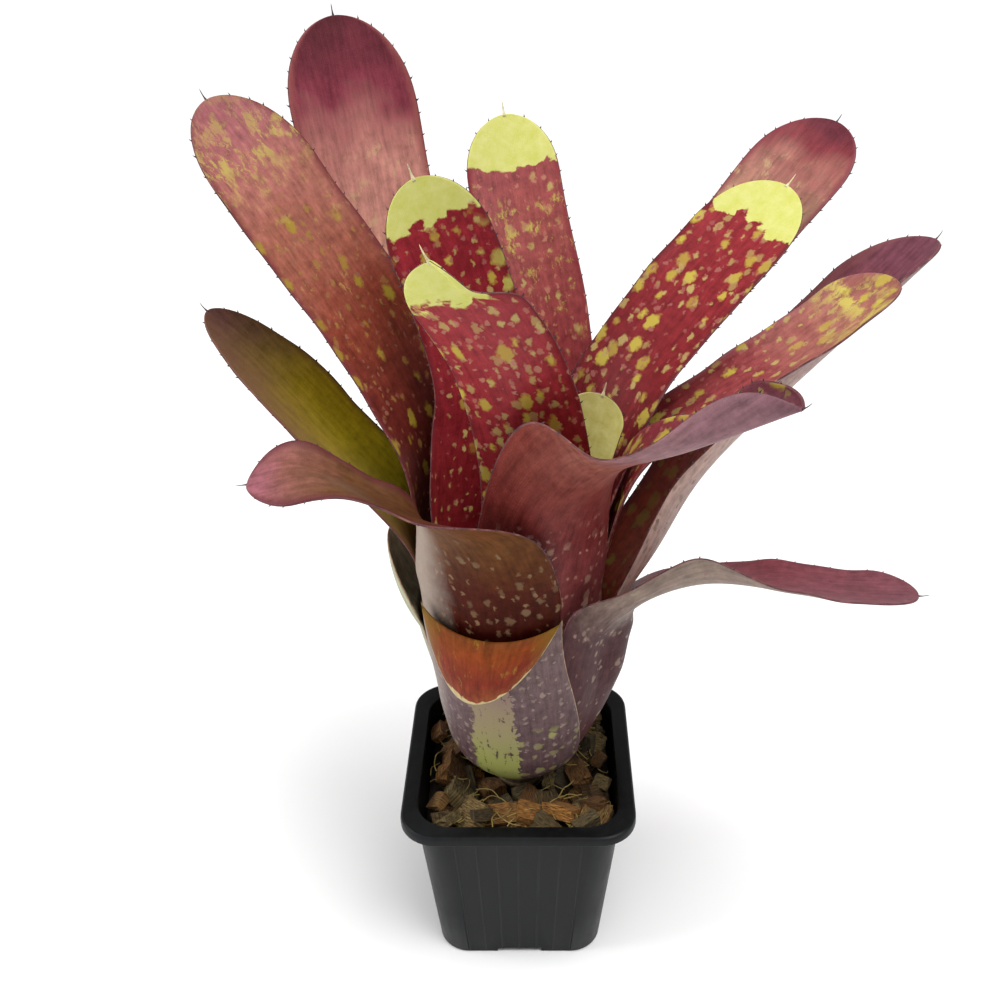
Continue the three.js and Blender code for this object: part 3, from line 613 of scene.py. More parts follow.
def spot_mark(tree, base, cell, radius, chance, stretch, text, *limits):
    """Round spots, one in each of some cells: cell in mm, largest radius as a share of the cell,
    share of the cells that hold one, stretch along the leaf, and the shares it shows between."""
    size = 100 / cell
    grid = add(tree, "Mapping", {0: base.warped, "Location": (cell, base.seed, 0),
                                 "Scale": (size, size / stretch, 1)})
    cells = add(tree, "TexVoronoi", {"Vector": grid, "Scale": 1.0, "Randomness": 0.9},
                voronoi_dimensions="2D")
    draws = add(tree, "SeparateColor", {0: cells.outputs["Color"]})
    reach = add(tree, "MapRange", {0: draws, 1: 1 - chance, 2: 1.0, 3: 0.4 * radius, 4: radius})
    inner = add(tree, "Math", {0: reach, 1: SPOT_FADE}, operation="SUBTRACT")
    mark = add(tree, "MapRange", {0: cells.outputs["Distance"], 1: inner, 2: reach, 3: 1.0, 4: 0.0})
    drawn = add(tree, "Math", {0: draws, 1: 1 - chance}, operation="GREATER_THAN")
    real = add(tree, "Math", {0: mark, 1: drawn}, operation="MULTIPLY")
    ends = between(tree, base, *(limits or base.span))
    mask = add(tree, "Math", {0: real, 1: ends}, operation="MULTIPLY")
    faint = add(tree, "MapRange", {0: draws.outputs[1], 3: 0.5, 4: 1.0})
    return add(tree, "Math", {0: mask, 1: faint}, operation="MULTIPLY"), colour(text)


def streak_mark(tree, base, start, end, amount, text):
    """Short pale threads in loose clumps. A larger amount gives more of them."""
    thread = add(tree, "Mapping", {0: base.warped, "Scale": (80, 22, 1)})
    pale = add(tree, "TexNoise", {"Vector": thread, "Scale": 1.0, "Detail": 4.0, "Roughness": 0.7})
    clumps = add(tree, "TexNoise", {"Vector": base.seeded, "Scale": 14.0, "Detail": 2.0})
    both = add(tree, "Math", {0: pale, 1: clumps}, operation="ADD")
    shown = add(tree, "MapRange", {0: both, 1: 1.2 - amount, 2: 1.36 - amount, 4: 0.85})
    ends = between(tree, base, start, end, coming=(0.06, 0.18), going=(0.06, 0.16))
    return add(tree, "Math", {0: shown, 1: ends}, operation="MULTIPLY"), colour(text)


print("spots fade over", SPOT_FADE, "of a cell")

# %% [markdown]
# ### Tones with a border
#
# The other marks cover a part of the leaf: both flanks, one side, a stripe, or all above a lobed
# border. Flat areas with straight edges would look like glued paper, so a noise moves every
# border about. The film of grey scales has no border, and is thicker in some places.

# %% Tones with a border
CREAM = "#dcd993"


def flank_mark(tree, base, start, text):
    """A tone along both margins, from start (share of the width off the middle) outwards."""
    off = add(tree, "Math", {0: base.across, 1: 0.5}, operation="SUBTRACT")
    off = add(tree, "Math", {0: off}, operation="ABSOLUTE")
    off = add(tree, "Math", {0: base.grain, 1: 0.08, 2: off}, operation="MULTIPLY_ADD")
    return add(tree, "MapRange", {0: off, 1: start + 0.04, 2: 0.54}), colour(text)


def stripe_mark(tree, base, left, right, low_text, high_text):
    """One broken stripe up the leaf, between two shares of its width."""
    edge = add(tree, "Math", {0: base.pull, 1: 0.17, 2: base.across}, operation="MULTIPLY_ADD")
    rise = add(tree, "MapRange", {0: edge, 1: left, 2: left + 0.02})
    fall = add(tree, "MapRange", {0: edge, 1: right, 2: right + 0.006, 3: 1.0, 4: 0.0})
    band = add(tree, "Math", {0: rise, 1: fall}, operation="MULTIPLY")
    dashes = add(tree, "MapRange", {0: base.mottle, 1: 0.82, 2: 0.9})
    climb = add(tree, "MapRange", {0: base.wander, 1: -0.2, 2: 0.4})
    tint = add(tree, "Mix", {0: climb, 6: colour(low_text), 7: colour(high_text)}, data_type="RGBA")
    return add(tree, "Math", {0: band, 1: dashes}, operation="MULTIPLY"), tint.outputs[2]


def patch_mark(tree, base, start, text):
    """The lobed lime patch from a share of the blade up to the tip, bleached to cream in places."""
    lobes = add(tree, "TexNoise", {"Vector": base.warped, "Scale": 13.0, "Detail": 2.0})
    border = add(tree, "Math", {0: lobes, 1: 0.12, 2: base.along}, operation="MULTIPLY_ADD")
    bleached = add(tree, "MapRange", {0: base.blotch, 1: 0.3, 2: 0.7, 4: 0.6})
    tint = add(tree, "Mix", {0: bleached, 6: colour(text), 7: colour(CREAM)}, data_type="RGBA")
    return add(tree, "MapRange", {0: border, 1: start + 0.06, 2: start + 0.066}), tint.outputs[2]


def side_tone_and_sheen_mark(tree, base, start, end, text):
    """A tone that grows across the leaf, from one share of its width to another: on the brown outside,
    painted sheen.
    """
    off = add(tree, "Math", {0: base.blotch, 1: 0.16, 2: base.across}, operation="MULTIPLY_ADD")
    return add(tree, "MapRange", {0: off, 1: start + 0.08, 2: end + 0.08, 3: 0.0, 4: 0.75}), colour(text)


def scale_mark(tree, base, scales, scurf, text):
    """The film of grey scales in dots, thicker where the mottling is light."""
    dots = add(tree, "MapRange", {0: scales, 1: 0.1, 2: 0.5, 3: scurf, 4: 0.3 * scurf})
    film = add(tree, "MapRange", {0: base.mottle, 1: 0.8, 2: 1.3, 3: 0.25, 4: 1.3})
    return add(tree, "Math", {0: dots, 1: film}, operation="MULTIPLY"), colour(text)


print("the lime patches bleach to", CREAM)

# %% [markdown]
# ### The whole skin
#
# The marks are laid over the ground one after another, as glazes are, with the grey scales last.
# The scales stand in fine rows. They are drawn at 0.6 mm, because the real 0.3 mm would not show.

# %% The whole skin
LEAF_IOR = 1.4
SCALE_ROWS = (150, 190, 1)
FINE_RELIEF = 0.0004            # metres


def leaf_skin(name, ground, spots=(), span=(-2.0, 2.0), streaks=(), flanks=(), stripe=(), patch=(),
              side_tone_and_sheen=(), scurf=0.05, scurf_tint="#a99a98", roughness=0.42, gloss=0.28, seed=0.0):
    """Living leaf skin, waxy and finely scaled: a soft shine over fine upright streaks.

    ground holds (share along the blade, hex) stops, and span the shares between which spots show.
    """
    material, tree, shader = new_material(name)
    base = leaf_ground(tree, ground, span, seed)
    kinds = ((flank_mark, [flanks]), (spot_mark, spots), (streak_mark, streaks),
             (stripe_mark, [stripe]), (patch_mark, [patch]), (side_tone_and_sheen_mark, [side_tone_and_sheen]))
    marks = [make(tree, base, *mark) for make, several in kinds for mark in several if mark]
    rows = add(tree, "Mapping", {0: base.seeded, "Scale": SCALE_ROWS})
    scales = add(tree, "TexVoronoi", {"Vector": rows, "Scale": 1.0, "Randomness": 0.5},
                 voronoi_dimensions="2D")
    marks.append(scale_mark(tree, base, scales, scurf, scurf_tint))
    skin = base.skin
    for cover, tint in marks:
        skin = add(tree, "Mix", {0: cover, 6: skin, 7: tint}, data_type="RGBA").outputs[2]
    relief = add(tree, "Math", {0: base.grain, 1: scales}, operation="ADD")
    bump = add(tree, "Bump", {"Height": relief, "Strength": 0.14, "Distance": FINE_RELIEF})
    fill(tree, shader, {"Base Color": skin, "Normal": bump, "Roughness": roughness, "IOR": LEAF_IOR,
                        "Specular IOR Level": gloss})
    return material


print("a leaf skin is ready to be coloured")

# %% [markdown]
# ### The outsides of the leaves
#
# The outside of a blade is duller than its inside, and scurfy with scales, so five skins of that
# kind serve all the leaves: mauve, red, brown, beige and pale. Each leaf having its own would
# double the materials for sides that mostly face away.

# %% The outsides of the leaves
LIME = "#c2c45c"
YELLOW = "#b9a640"
STRAW = "#b09a5c"
PINK = "#b0745f"
FLESH = "#9a5850"
OUTSIDE = dict(scurf=0.07, roughness=0.46, gloss=0.14)
PALE_DOTS = ((6.5, 0.3, 0.42, 1.2, "#92806f"), (4.0, 0.29, 0.38, 1.2, "#8a6e66"))
UNDERS = {
    "grey_mauve": leaf_skin(
        "leaf_skin_scaled_outside_mauve", [(-0.6, "#4a3438"), (0.3, "#745256"), (1, "#763c46")],
        seed=1.3, spots=PALE_DOTS, **OUTSIDE),
    "red_brown": leaf_skin(
        "leaf_skin_scaled_outside_red",
        # the pale stop just below the collar is painted sheen
        [(-0.6, "#5c3a3e"), (-0.25, "#94605c"), (-0.05, "#7c3a3a"), (0.16, "#661c1c"),
         (0.35, "#70281e"), (0.5, "#864c40"), (0.68, "#8a6468"), (1, "#76505a")],
        seed=2.1, **OUTSIDE,
        spots=((6, 0.43, 0.55, 1.3, "#b4907a", -0.9, 0.14), (3.6, 0.35, 0.45, 1.2, "#a67868", -0.9, 0.2))),
    "brown": leaf_skin(
        "leaf_skin_scaled_outside_brown",
        # the near-black foot is partly its own dark colour and partly painted shade between the sheaths
        [(-0.7, "#240403"), (-0.16, "#360b05"), (0.06, "#481a0d"), (0.24, "#5e3819"),
         (0.5, "#683c20"), (1, "#7c4a52")],
        # its pale side band is painted sheen, over real grey scurf
        seed=3.9, side_tone_and_sheen=(0.36, 0.14, "#a6978a"), scurf=0.02, scurf_tint="#8a7468",
        spots=((6, 0.35, 0.5, 1.3, "#705840", -0.9, 0.2), (3.6, 0.33, 0.45, 1.3, "#7c6248", -0.9, 0.3)),
        roughness=0.46, gloss=0.07),
    "beige": leaf_skin(
        "leaf_skin_scaled_outside_beige",
        # the pale stop at the very foot is a painted grazing sheen
        [(-0.62, "#7c6a68"), (-0.4, "#4a2628"), (0.02, "#48282a"), (0.2, "#7c695e"),
         (0.4, "#8c7a6e"), (1, "#86706c")],
        seed=4.4, spots=PALE_DOTS, scurf=0.06, roughness=0.46, gloss=0.09),
    "pale_beige": leaf_skin(
        "leaf_skin_scaled_outside_pale",
        # the pale stops round the collar are painted light, brightened where the leaf lies in shade
        [(-0.5, "#503434"), (-0.1, "#94736a"), (0.1, "#ccaea0"), (0.45, "#bc9e94"), (1, "#7e6062")],
        seed=5.2, spots=PALE_DOTS, scurf=0.1, roughness=0.46, gloss=0.16),
}
print("leaf outsides:", ", ".join(UNDERS))

# %% [markdown]
# ### The insides of the leaves
#
# The inside of each blade is what the eye meets, so every leaf has a skin of its own: crimson
# with yellow spots and a lime tip near the middle, rose and olive further out. Under names the
# outside skin, and "same" means that the inner skin shows on both sides.

# %% The insides of the leaves
DENSE = ((6.5, 0.44, 0.52, 1.7, YELLOW), (4.2, 0.41, 0.62, 1.6, STRAW), (2.9, 0.38, 0.5, 1.3, PINK))
LOOSE = ((7.5, 0.41, 0.6, 1.4, YELLOW), (4.6, 0.39, 0.62, 1.5, STRAW), (3.1, 0.36, 0.5, 1.3, FLESH))
SPARSE = ((10, 0.28, 0.4, 1.3, YELLOW), (5.5, 0.28, 0.4, 1.4, STRAW), (3.6, 0.3, 0.4, 1.2, FLESH))
LOW_BACK = dict(under="grey_mauve", ground=[(-0.5, "#4a1c18"), (0.4, "#7c4038"), (1, "#6a2c3a")])
SKINS = {
    "leaf_back_low_left": LOW_BACK,
    "leaf_right_low": dict(
        under="beige", ground=[(-0.5, "#4f2420"), (0.4, "#743038"), (1, "#74404a")]),
    "leaf_front_left": dict(
        under="brown", flanks=(0.36, "#561c26"),
        ground=[(-0.6, "#240806"), (0.1, "#4e2a12"), (0.7, "#664020"), (0.88, "#7c4a40"), (1, "#8c505a")]),
    "leaf_right_broad": dict(
        under="pale_beige", flanks=(0.4, "#7c4648"),
        # the pale ground round the collar is painted light, brightened where the blade lies in shade
        ground=[(-0.5, "#7c3024"), (0.2, "#b85c46"), (0.6, "#985054"), (1, "#683646")],
        spots=((9, 0.42, 0.5, 1.4, "#b8a050", -0.3, 0.6), (4.6, 0.36, 0.5, 1.4, "#a8884c", -0.3, 0.6))),
    "leaf_left_olive": dict(
        under="brown", flanks=(0.42, "#6a4a20"), side_tone_and_sheen=(0.36, 0.84, "#6c4a36"),
        ground=[(-0.5, "#4a2414"), (0.04, "#94761a"), (0.2, "#b0a616"), (0.4, "#b8a60c"),
                (0.6, "#a48e10"), (0.85, "#6c5030"), (1, "#5a3830")]),
    "leaf_front_right_large": dict(
        under="red_brown", ground=[(-0.5, "#4f0a10"), (0.4, "#7a1820"), (1, "#7c4452")], spots=LOOSE),
    "leaf_back_low_right": LOW_BACK,
    "leaf_back_left_tall": dict(
        under="grey_mauve", flanks=(0.42, "#8c4644"), streaks=((-0.4, 0.75, 0.1, "#c4a078"),),
        ground=[(-0.3, "#8c5840"), (0.3, "#c8987a"), (0.6, "#c88c7c"), (0.76, "#b07068"),
                (0.86, "#7c2c3c"), (0.98, "#561824")]),
    "leaf_right_folded": dict(
        under="red_brown", flanks=(0.42, "#94545a"), streaks=((0.83, 0.975, 0.26, "#cabc5a"),),
        ground=[(-0.5, "#560c10"), (0.3, "#781c1e"), (0.6, "#8c3c3e"), (0.85, "#a4685c"), (1, "#8c5048")],
        spots=LOOSE),
    "leaf_left_tall": dict(
        under="grey_mauve", flanks=(0.42, "#6c282c"), span=(-0.4, 0.74),
        streaks=((0.82, 0.96, 0.22, "#b8a454"), (0.45, 0.8, 0.05, "#a88c44")),
        ground=[(-0.3, "#260705"), (0.1, "#420c05"), (0.3, "#5c160a"), (0.5, "#803420"),
                (0.7, "#9a5a48"), (0.84, "#a4625a"), (1, "#98545c")],
        spots=((9, 0.3, 0.4, 1.5, "#9c8624", 0.12, 0.74), (5, 0.3, 0.45, 1.5, "#946e34", 0.1, 0.76),
               (3.4, 0.3, 0.4, 1.2, "#8a5844"))),
    "leaf_centre_back": dict(
        under="red_brown", flanks=(0.43, "#7c202a"), patch=(0.858, LIME),
        ground=[(-0.3, "#5c0c16"), (0.3, "#84262c"), (0.7, "#964844"), (1, "#8e3c42")],
        spots=((6, 0.32, 0.4, 1.4, STRAW), (3.6, 0.32, 0.45, 1.3, PINK)),
        streaks=((0.42, 0.8, 0.12, "#bcab50"),)),
    "leaf_inner_front": dict(
        under="same", flanks=(0.43, "#640a16"), patch=(0.905, LIME),
        ground=[(-0.4, "#420609"), (0.1, "#700c16"), (0.4, "#8a1a22"), (1, "#962a32")], spots=DENSE),
    "leaf_right_back": dict(
        under="grey_mauve", flanks=(0.43, "#7a303c"), streaks=((0.3, 0.85, 0.1, "#bca474"),),
        # the tan-pink stop at two thirds of the blade is painted sheen
        ground=[(-0.3, "#66101c"), (0.4, "#94524a"), (0.68, "#b48e70"), (0.84, "#9c645a"),
                (0.93, "#7a2c34"), (1, "#5e1c2a")]),
    "leaf_inner_left": dict(
        under="red_brown", flanks=(0.43, "#640c18"), patch=(0.915, LIME),
        ground=[(-0.4, "#420609"), (0.3, "#6e0a14"), (1, "#8c1826")],
        spots=((13, 0.3, 0.8, 1.0, LIME, 0.74, 0.86), (6.5, 0.34, 0.5, 1.4, YELLOW, 0.5, 0.9),
               (4, 0.32, 0.5, 1.4, STRAW, 0.3, 0.9), (3.4, 0.28, 0.4, 1.3, FLESH))),
    "leaf_right_blotched": dict(
        under="red_brown", flanks=(0.43, "#5c1018"), patch=(0.872, LIME),
        ground=[(-0.3, "#4c080b"), (0.3, "#700c14"), (0.8, "#861e26")], spots=LOOSE),
    "leaf_young": dict(
        under="red_brown", patch=(0.3, "#b4ac58"),
        ground=[(-0.3, "#520a0c"), (0.3, "#6c0e12"), (1, "#7c2a1c")], spots=SPARSE),
}
print("leaf insides:", len(SKINS))

# %% [markdown]
# ## Margins, spines and hooks
#
# Along both margins stand thorns of about 1 mm, every 6 mm or so, leaning towards the tip. The
# blade itself ends in one hooked spine. A thorn is a cone that is flattened and bent, modelled
# once with few faces, because hundreds of copies are joined to the leaves.

# %% Margins, spines and hooks
# near-black horn with a faint sheen on the thorns, and cream horn, still fresh, on the lime tips
DARK_HORN = dry_finish("thorn_dry_dark_horn", 0.45, 900.0, [(0.3, "#241418"), (0.7, "#4a2a2c")])
PALE_HORN = dry_finish("thorn_fresh_pale_horn", 0.45, 900.0, [(0.3, "#b9a878"), (0.7, "#e0d9ae")])
# the rim of a blade dries to a thin brown line
MARGIN = dry_finish("leaf_margin_dry_rim", 0.55, 260.0,
                    [(0.35, "#43181c"), (0.6, "#6e3838"), (0.75, "#93685a")], detail=3.0)
BLUNT = 0.04                    # share of its radius that a cone keeps at its point
THORN_LENGTH = 1.9
HOOK_LENGTH = 7.0


def cone(name, sides, radius, length, rings):
    """A slim cone on +Y, with rings of faces so that it can be bent."""
    deselect()
    bpy.ops.mesh.primitive_cone_add(vertices=sides, radius1=radius, radius2=radius * BLUNT, depth=length,
                                    end_fill_type="TRIFAN", location=(0, length / 2, 0),
                                    rotation=(-math.pi / 2, 0, 0))
    made = bpy.context.object
    made.name = name
    made.data.materials.append(DARK_HORN)
    bpy.ops.object.transform_apply(location=True, rotation=True, scale=True)
    bpy.ops.object.mode_set(mode="EDIT")
    for k in range(1, rings):
        bpy.ops.mesh.select_all(action="SELECT")
        bpy.ops.mesh.bisect(plane_co=(0, length * k / rings, 0), plane_no=(0, 1, 0))
    bpy.ops.object.mode_set(mode="OBJECT")
    return made


thorn = cone("thorn", 5, 0.55, THORN_LENGTH, 2)
for vertex in thorn.data.vertices:
    x, y, z = vertex.co
    share = y / THORN_LENGTH
    vertex.co = (y - 0.5, x * 1.2 + 1.0 * share ** 2, z * 0.55)
hook = cone("hook", 8, 1.15, HOOK_LENGTH, 6)
for vertex in hook.data.vertices:
    x, y, z = vertex.co
    share = y / HOOK_LENGTH
    thin = 1 - 0.45 * math.sin(math.pi * min(share * 1.2, 1))
    vertex.co = (x * thin, y - 1.0, z * thin * 0.7 + 1.2 * share ** 2.5)
hook.data.polygons.foreach_set("use_smooth", [True] * len(hook.data.polygons))
print("a thorn has", len(thorn.data.polygons), "faces and a hook", len(hook.data.polygons))


def copy_to(model, x_axis, y_axis, z_axis, place, size=1.0, material=None):
    """A copy of a model with its own mesh, turned to three axes and set at a place in mm."""
    made = model.copy()
    made.data = model.data.copy()
    turn = Matrix((x_axis, y_axis, z_axis)).transposed().to_4x4()
    made.data.transform(Matrix.Translation(place) @ turn @ Matrix.Scale(size, 4))
    if material:
        made.data.materials[0] = material
    scene.collection.objects.link(made)
    return made

# %% [markdown]
# ## The leaves
#
# Every leaf begins as a flat grid, the way a paper leaf begins as a sheet. Its points are then
# laid on the sections, Solidify gives it its 0.85 mm with separate skins for its two sides and
# its rim, and one level of subdivision rounds it. Moving grid points by rule keeps the leaf's own
# maps straight, which bending modifiers would not.

# %% A grid of points as a leaf
COLUMNS = 18
THICKNESS = 0.85


def skin_grid(name, grid, shares, skins):
    """A grid of points as a thin leaf with its two maps and three skins."""
    rows, columns = len(grid) - 1, len(grid[0]) - 1
    deselect()
    bpy.ops.mesh.primitive_grid_add(x_subdivisions=columns, y_subdivisions=rows, size=2)
    made = bpy.context.object
    made.name = made.data.name = name
    mesh = made.data
    mesh.uv_layers[0].name = LENGTHS
    mesh.uv_layers.new(name=SHARES)
    up = [0.0]
    middle = columns // 2
    for a, b in zip(grid, grid[1:]):
        up.append(up[-1] + (b[middle] - a[middle]).length)
    widths = [sum((q - p).length for p, q in zip(row, row[1:])) for row in grid]
    where = [(round((v.co.y + 1) / 2 * rows), round((v.co.x + 1) / 2 * columns)) for v in mesh.vertices]
    for vertex, (r, c) in zip(mesh.vertices, where):
        vertex.co = grid[r][c] * MM
    for loop in mesh.loops:
        r, c = where[loop.vertex_index]
        across = c / columns
        mesh.uv_layers[LENGTHS].data[loop.index].uv = ((across - 0.5) * widths[r] / 100, up[r] / 100)
        mesh.uv_layers[SHARES].data[loop.index].uv = (across, shares[r])
    for skin in skins:
        mesh.materials.append(skin)
    solid = made.modifiers.new("thickness", "SOLIDIFY")
    solid.thickness = THICKNESS * MM
    solid.offset = 0
    solid.material_offset = 1
    solid.material_offset_rim = 2
    smooth = made.modifiers.new("smooth", "SUBSURF")
    smooth.levels = smooth.render_levels = 1
    smooth.uv_smooth = "NONE"
    for modifier in ("thickness", "smooth"):
        bpy.ops.object.modifier_apply(modifier=modifier)
    mesh.polygons.foreach_set("use_smooth", [True] * len(mesh.polygons))
    return made


def finish_piece(made, node):
    """Names a piece for its node, and says what it rides on and what it replaces."""
    made.name = made.data.name = node + "_skin"
    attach(made, "root")
    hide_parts(node)
    return made


def join(target, others):
    """Joins the others into the target."""
    deselect()
    for other in others:
        other.select_set(True)
    target.select_set(True)
    bpy.context.view_layer.objects.active = target
    bpy.ops.object.join()


print("a leaf has", COLUMNS, "columns and is", THICKNESS, "mm thick")

# %% [markdown]
# ### Waves, a fold and the spines
#
# A blade is never quite true: its margins wave a little, and one tip is folded over. A lattice
# could wave a finished leaf, but a rule for each point of the grid is exact and leaves the maps
# alone. Thorns are set along both margins at uneven steps, and the hook at the tip.

# %% Waves, a fold and the spines
BLADE_WAVE = 0.5                # mm that the margins wave up and down
WAVE_GROWS = (0.1, 0.4)         # shares of the blade over which the wave grows, and fades again
WAVE_FADES = (1.0, 0.8)
WAVES = (17, 41)                # radians of the broad and the fine wave in one blade
FOLD_LENGTH = 0.08              # share of the blade over which a folded tip turns over
FOLD_LINE = 0.1                 # across the blade, from 0 in the middle to 1 at the margin
TURN = 6.28                     # radians within which a wave may start
FIRST_THORN = (2, 5)            # mm to the first thorn
THORN_GAP = (4.5, 8.0)          # mm from one thorn to the next
THORN_SIZE = (0.45, 0.75)
BARE_ROWS = 3                   # rows at the tip that have no thorns
FRESH_HOOK = 0.88               # size of a hook on a lime tip
DRY_HOOK = 0.64


def blade_grid(leaf, rows, phase):
    """Points of a whole leaf, with its margins waved and, if it has one, its tip folded."""
    grid = []
    for row in rows:
        share = row["share"]
        points = []
        for c in range(COLUMNS + 1):
            across = 2 * c / COLUMNS - 1
            strength = BLADE_WAVE * smoothstep(share, *WAVE_GROWS) * smoothstep(share, *WAVE_FADES)
            wave = strength * abs(across) ** 3
            swing = (math.sin(share * WAVES[0] + phase[across > 0])
                     + 0.5 * math.sin(share * WAVES[1] + phase[across < 0]))
            place = section_point(row, across) + row["hollow"] * (wave * swing)
            if "tip_fold" in leaf:
                start, in_front, inwards = leaf["tip_fold"]
                turned = (row["half"] * smoothstep(share, start, start + FOLD_LENGTH)
                          * smoothstep(across, FOLD_LINE, 1))
                place -= row["hollow"] * (in_front * turned) + row["side"] * (inwards * turned)
            points.append(place)
        grid.append(points)
    return grid


def set_thorns(rows, grid, draw):
    """Thorns along both margins of the blade."""
    first = next(i for i, row in enumerate(rows) if row["share"] > 0)
    thorns = []
    for edge, inner in ((0, 1), (COLUMNS, COLUMNS - 1)):
        gap = draw.uniform(*FIRST_THORN)
        for r in range(first, len(rows) - BARE_ROWS):
            step = grid[r + 1][edge] - grid[r][edge]
            while gap < step.length:
                place = grid[r][edge] + step * (gap / step.length)
                out = grid[r][edge] - grid[r][inner]
                climb = step.normalized()
                out = (out - climb * out.dot(climb)).normalized()
                size = draw.uniform(*THORN_SIZE)
                thorns.append(copy_to(thorn, out, climb, out.cross(climb), place, size))
                gap += draw.uniform(*THORN_GAP)
            gap -= step.length
    return thorns


def set_hook(tip, fresh):
    """The hook that ends a blade, bent towards its hollow."""
    hollow = tip["side"].cross(tip["tangent"])
    if hollow.dot(tip["hollow"]) < 0:
        hollow = -hollow
    size = FRESH_HOOK if fresh else DRY_HOOK
    horn = PALE_HORN if fresh else None
    return copy_to(hook, tip["side"], tip["tangent"], hollow, tip["middle"], size, horn)


print("thorns stand", THORN_GAP[0], "to", THORN_GAP[1], "mm apart")

# %% [markdown]
# ### Growing the leaves
#
# The thorns and the hook are joined to the blade, because they are one grown piece. Each leaf
# draws its chance values from a seed of its own, so a change to one leaf leaves the others as
# they are.

# %% Growing the leaves
for number, (name, leaf) in enumerate(LEAVES.items()):
    look = dict(SKINS[name])
    outside = look.pop("under")
    draw = random.Random(number * 7 + 5)
    phase = [draw.uniform(0, TURN), draw.uniform(0, TURN)]
    rows = leaf_rows(leaf)
    grid = blade_grid(leaf, rows, phase)
    top = leaf_skin(name.replace("leaf", "leaf_skin"), seed=number * 1.7 + 0.4, **look)
    under = top if outside == "same" else UNDERS[outside]
    made = skin_grid(name, grid, [row["share"] for row in rows], [under, top, MARGIN])
    parts = [*set_thorns(rows, grid, draw), set_hook(rows[-1], fresh="patch" in look)]
    for part in parts:
        part.data.transform(Matrix.Scale(MM, 4))
    join(made, parts)
    finish_piece(made, name)
    print(f"{made.name}: {len(made.data.polygons)} faces, {len(parts)} spines")

for model in (thorn, hook):
    bpy.data.objects.remove(model)

# %% [markdown]
# ## The trimmed sheaths
#
# Two old leaves were cut back to their sheaths. The front one still shows its orange inner face
# above the cut and a lime stripe on its grey outside. They are made as the leaves are, but the
# last row is the line of the cut.

# %% The trimmed sheaths
# the cut has dried to a cream and brown crust
CUT_RIM = dry_finish("leaf_cut_rim_dried_cream", 0.7, 300.0,
                     [(0.3, "#7c4c30"), (0.5, "#a88c6c"), (0.7, "#cdbb9c")], detail=3.0)
STUB_SKINS = {
    "leaf_front_trimmed": (
        leaf_skin(
            "leaf_skin_old_sheath_striped",
            # darker towards its foot: painted shade for the base of the ball
            [(-1, "#3c2a2c"), (-0.4, "#503a3c"), (0.2, "#604a4c"), (1, "#78645f")],
            seed=6.2, stripe=(0.335, 0.6, "#939650", "#8c7468"), side_tone_and_sheen=(0.16, 0.02, "#988c82"),
            spots=((6, 0.44, 0.7, 1.0, "#94905a", -1.3, 0.0), (3.4, 0.38, 0.5, 1.0, "#8c7a70")),
            streaks=((-1.2, 0.4, -0.02, "#94847a"),), scurf=0.08, roughness=0.46, gloss=0.16),
        leaf_skin(
            "leaf_skin_old_inner_orange",
            [(-1, "#3c1a0e"), (0.3, "#4c280e"), (0.48, "#6e3e14"), (0.7, "#803812"), (0.88, "#74240e"),
             (1, "#80401c")],
            seed=7.5, streaks=((0.3, 1.2, 0.06, "#8c7020"),), flanks=(0.28, "#7c6018"),
            patch=(0.975, "#a88c6c"), scurf=0.02, roughness=0.4, gloss=0.2),
    ),
    "leaf_left_trimmed": (
        leaf_skin("leaf_skin_old_sheath_pale", [(-1, "#6c645c"), (1, "#a6a588")], seed=8.1,
                  spots=PALE_DOTS, scurf=0.12, roughness=0.46, gloss=0.16),
        leaf_skin("leaf_skin_old_inner_pale", [(-1, "#7c745c"), (1, "#b4b296")], seed=9.4, scurf=0.04),
    ),
}
for name, stub in STUBS.items():
    grid = stub_rows(stub, COLUMNS)
    shares = [2 * r / (len(grid) - 1) - 1 for r in range(len(grid))]
    made = skin_grid(name, grid, shares, [*STUB_SKINS[name], CUT_RIM])
    finish_piece(made, name)
    print(f"{made.name}: {len(made.data.polygons)} faces")

# %% [markdown]
# ## The stem
#
# Only a short brown stock joins the leaves to the mix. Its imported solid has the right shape, so
# it stays and gets a corky material: dull, ringed by old leaf scars about 4 mm apart.

# %% The stem
# dull brown, banded lighter and darker by the scars
CORK, tree, shader = new_material("stem_dry_cork")
place = add(tree, "TexCoord").outputs["Object"]
rings = add(tree, "TexWave", {"Vector": place, "Scale": 80.0, "Distortion": 4.0, "Detail": 3.0},
            bands_direction="Z").outputs["Fac"]
tone = add(tree, "ValToRGB", {0: rings}, [(0.2, "#4a3a26"), (0.8, "#7d6848")])
bump = add(tree, "Bump", {"Height": rings, "Strength": 0.5, "Distance": 0.0005})
fill(tree, shader, {"Base Color": tone, "Normal": bump, "Roughness": 0.9})
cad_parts["stem"].data.materials.clear()
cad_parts["stem"].data.materials.append(CORK)

# %% [markdown]
# ## The pot
#
# The pot is a thin moulding of black polypropylene: a tapered wall with round corners and shallow
# upright flutes, and a broad rolled rim. A cube with bevelled edges could start it, but the flutes
# would then be cut one by one. Here one outline holds the corners and the flutes, and grows with
# the height.

# %% The outline of the pot
POT_HEIGHT = 78
RIM_HALF = 45                   # half of a side, as the other halves are
RIM_WIDTH = 6.4
SKIRT = 4                       # how far the rim hangs down
SKIRT_WALL = 1.2
LIP = 1.6
WALL = 1.2
FLOOR = 1.6
WALL_TOP_HALF = 39.8
BASE_HALF = 33
RIM_CORNER = 14
BASE_CORNER = 12
FLUTES = (-24.5, -16.3, -8.2, 0.0, 8.2, 16.3, 24.5)     # places of the ridges at the wall's top
FLUTE_HALF = 0.55
FLUTE_DEPTH = 0.3
CORNER_STEPS = 10


def wall_half(z):
    return mix(BASE_HALF, WALL_TOP_HALF, z / (POT_HEIGHT - SKIRT))


def corner_at(half):
    return mix(BASE_CORNER, RIM_CORNER, (half - BASE_HALF) / (RIM_HALF - BASE_HALF))


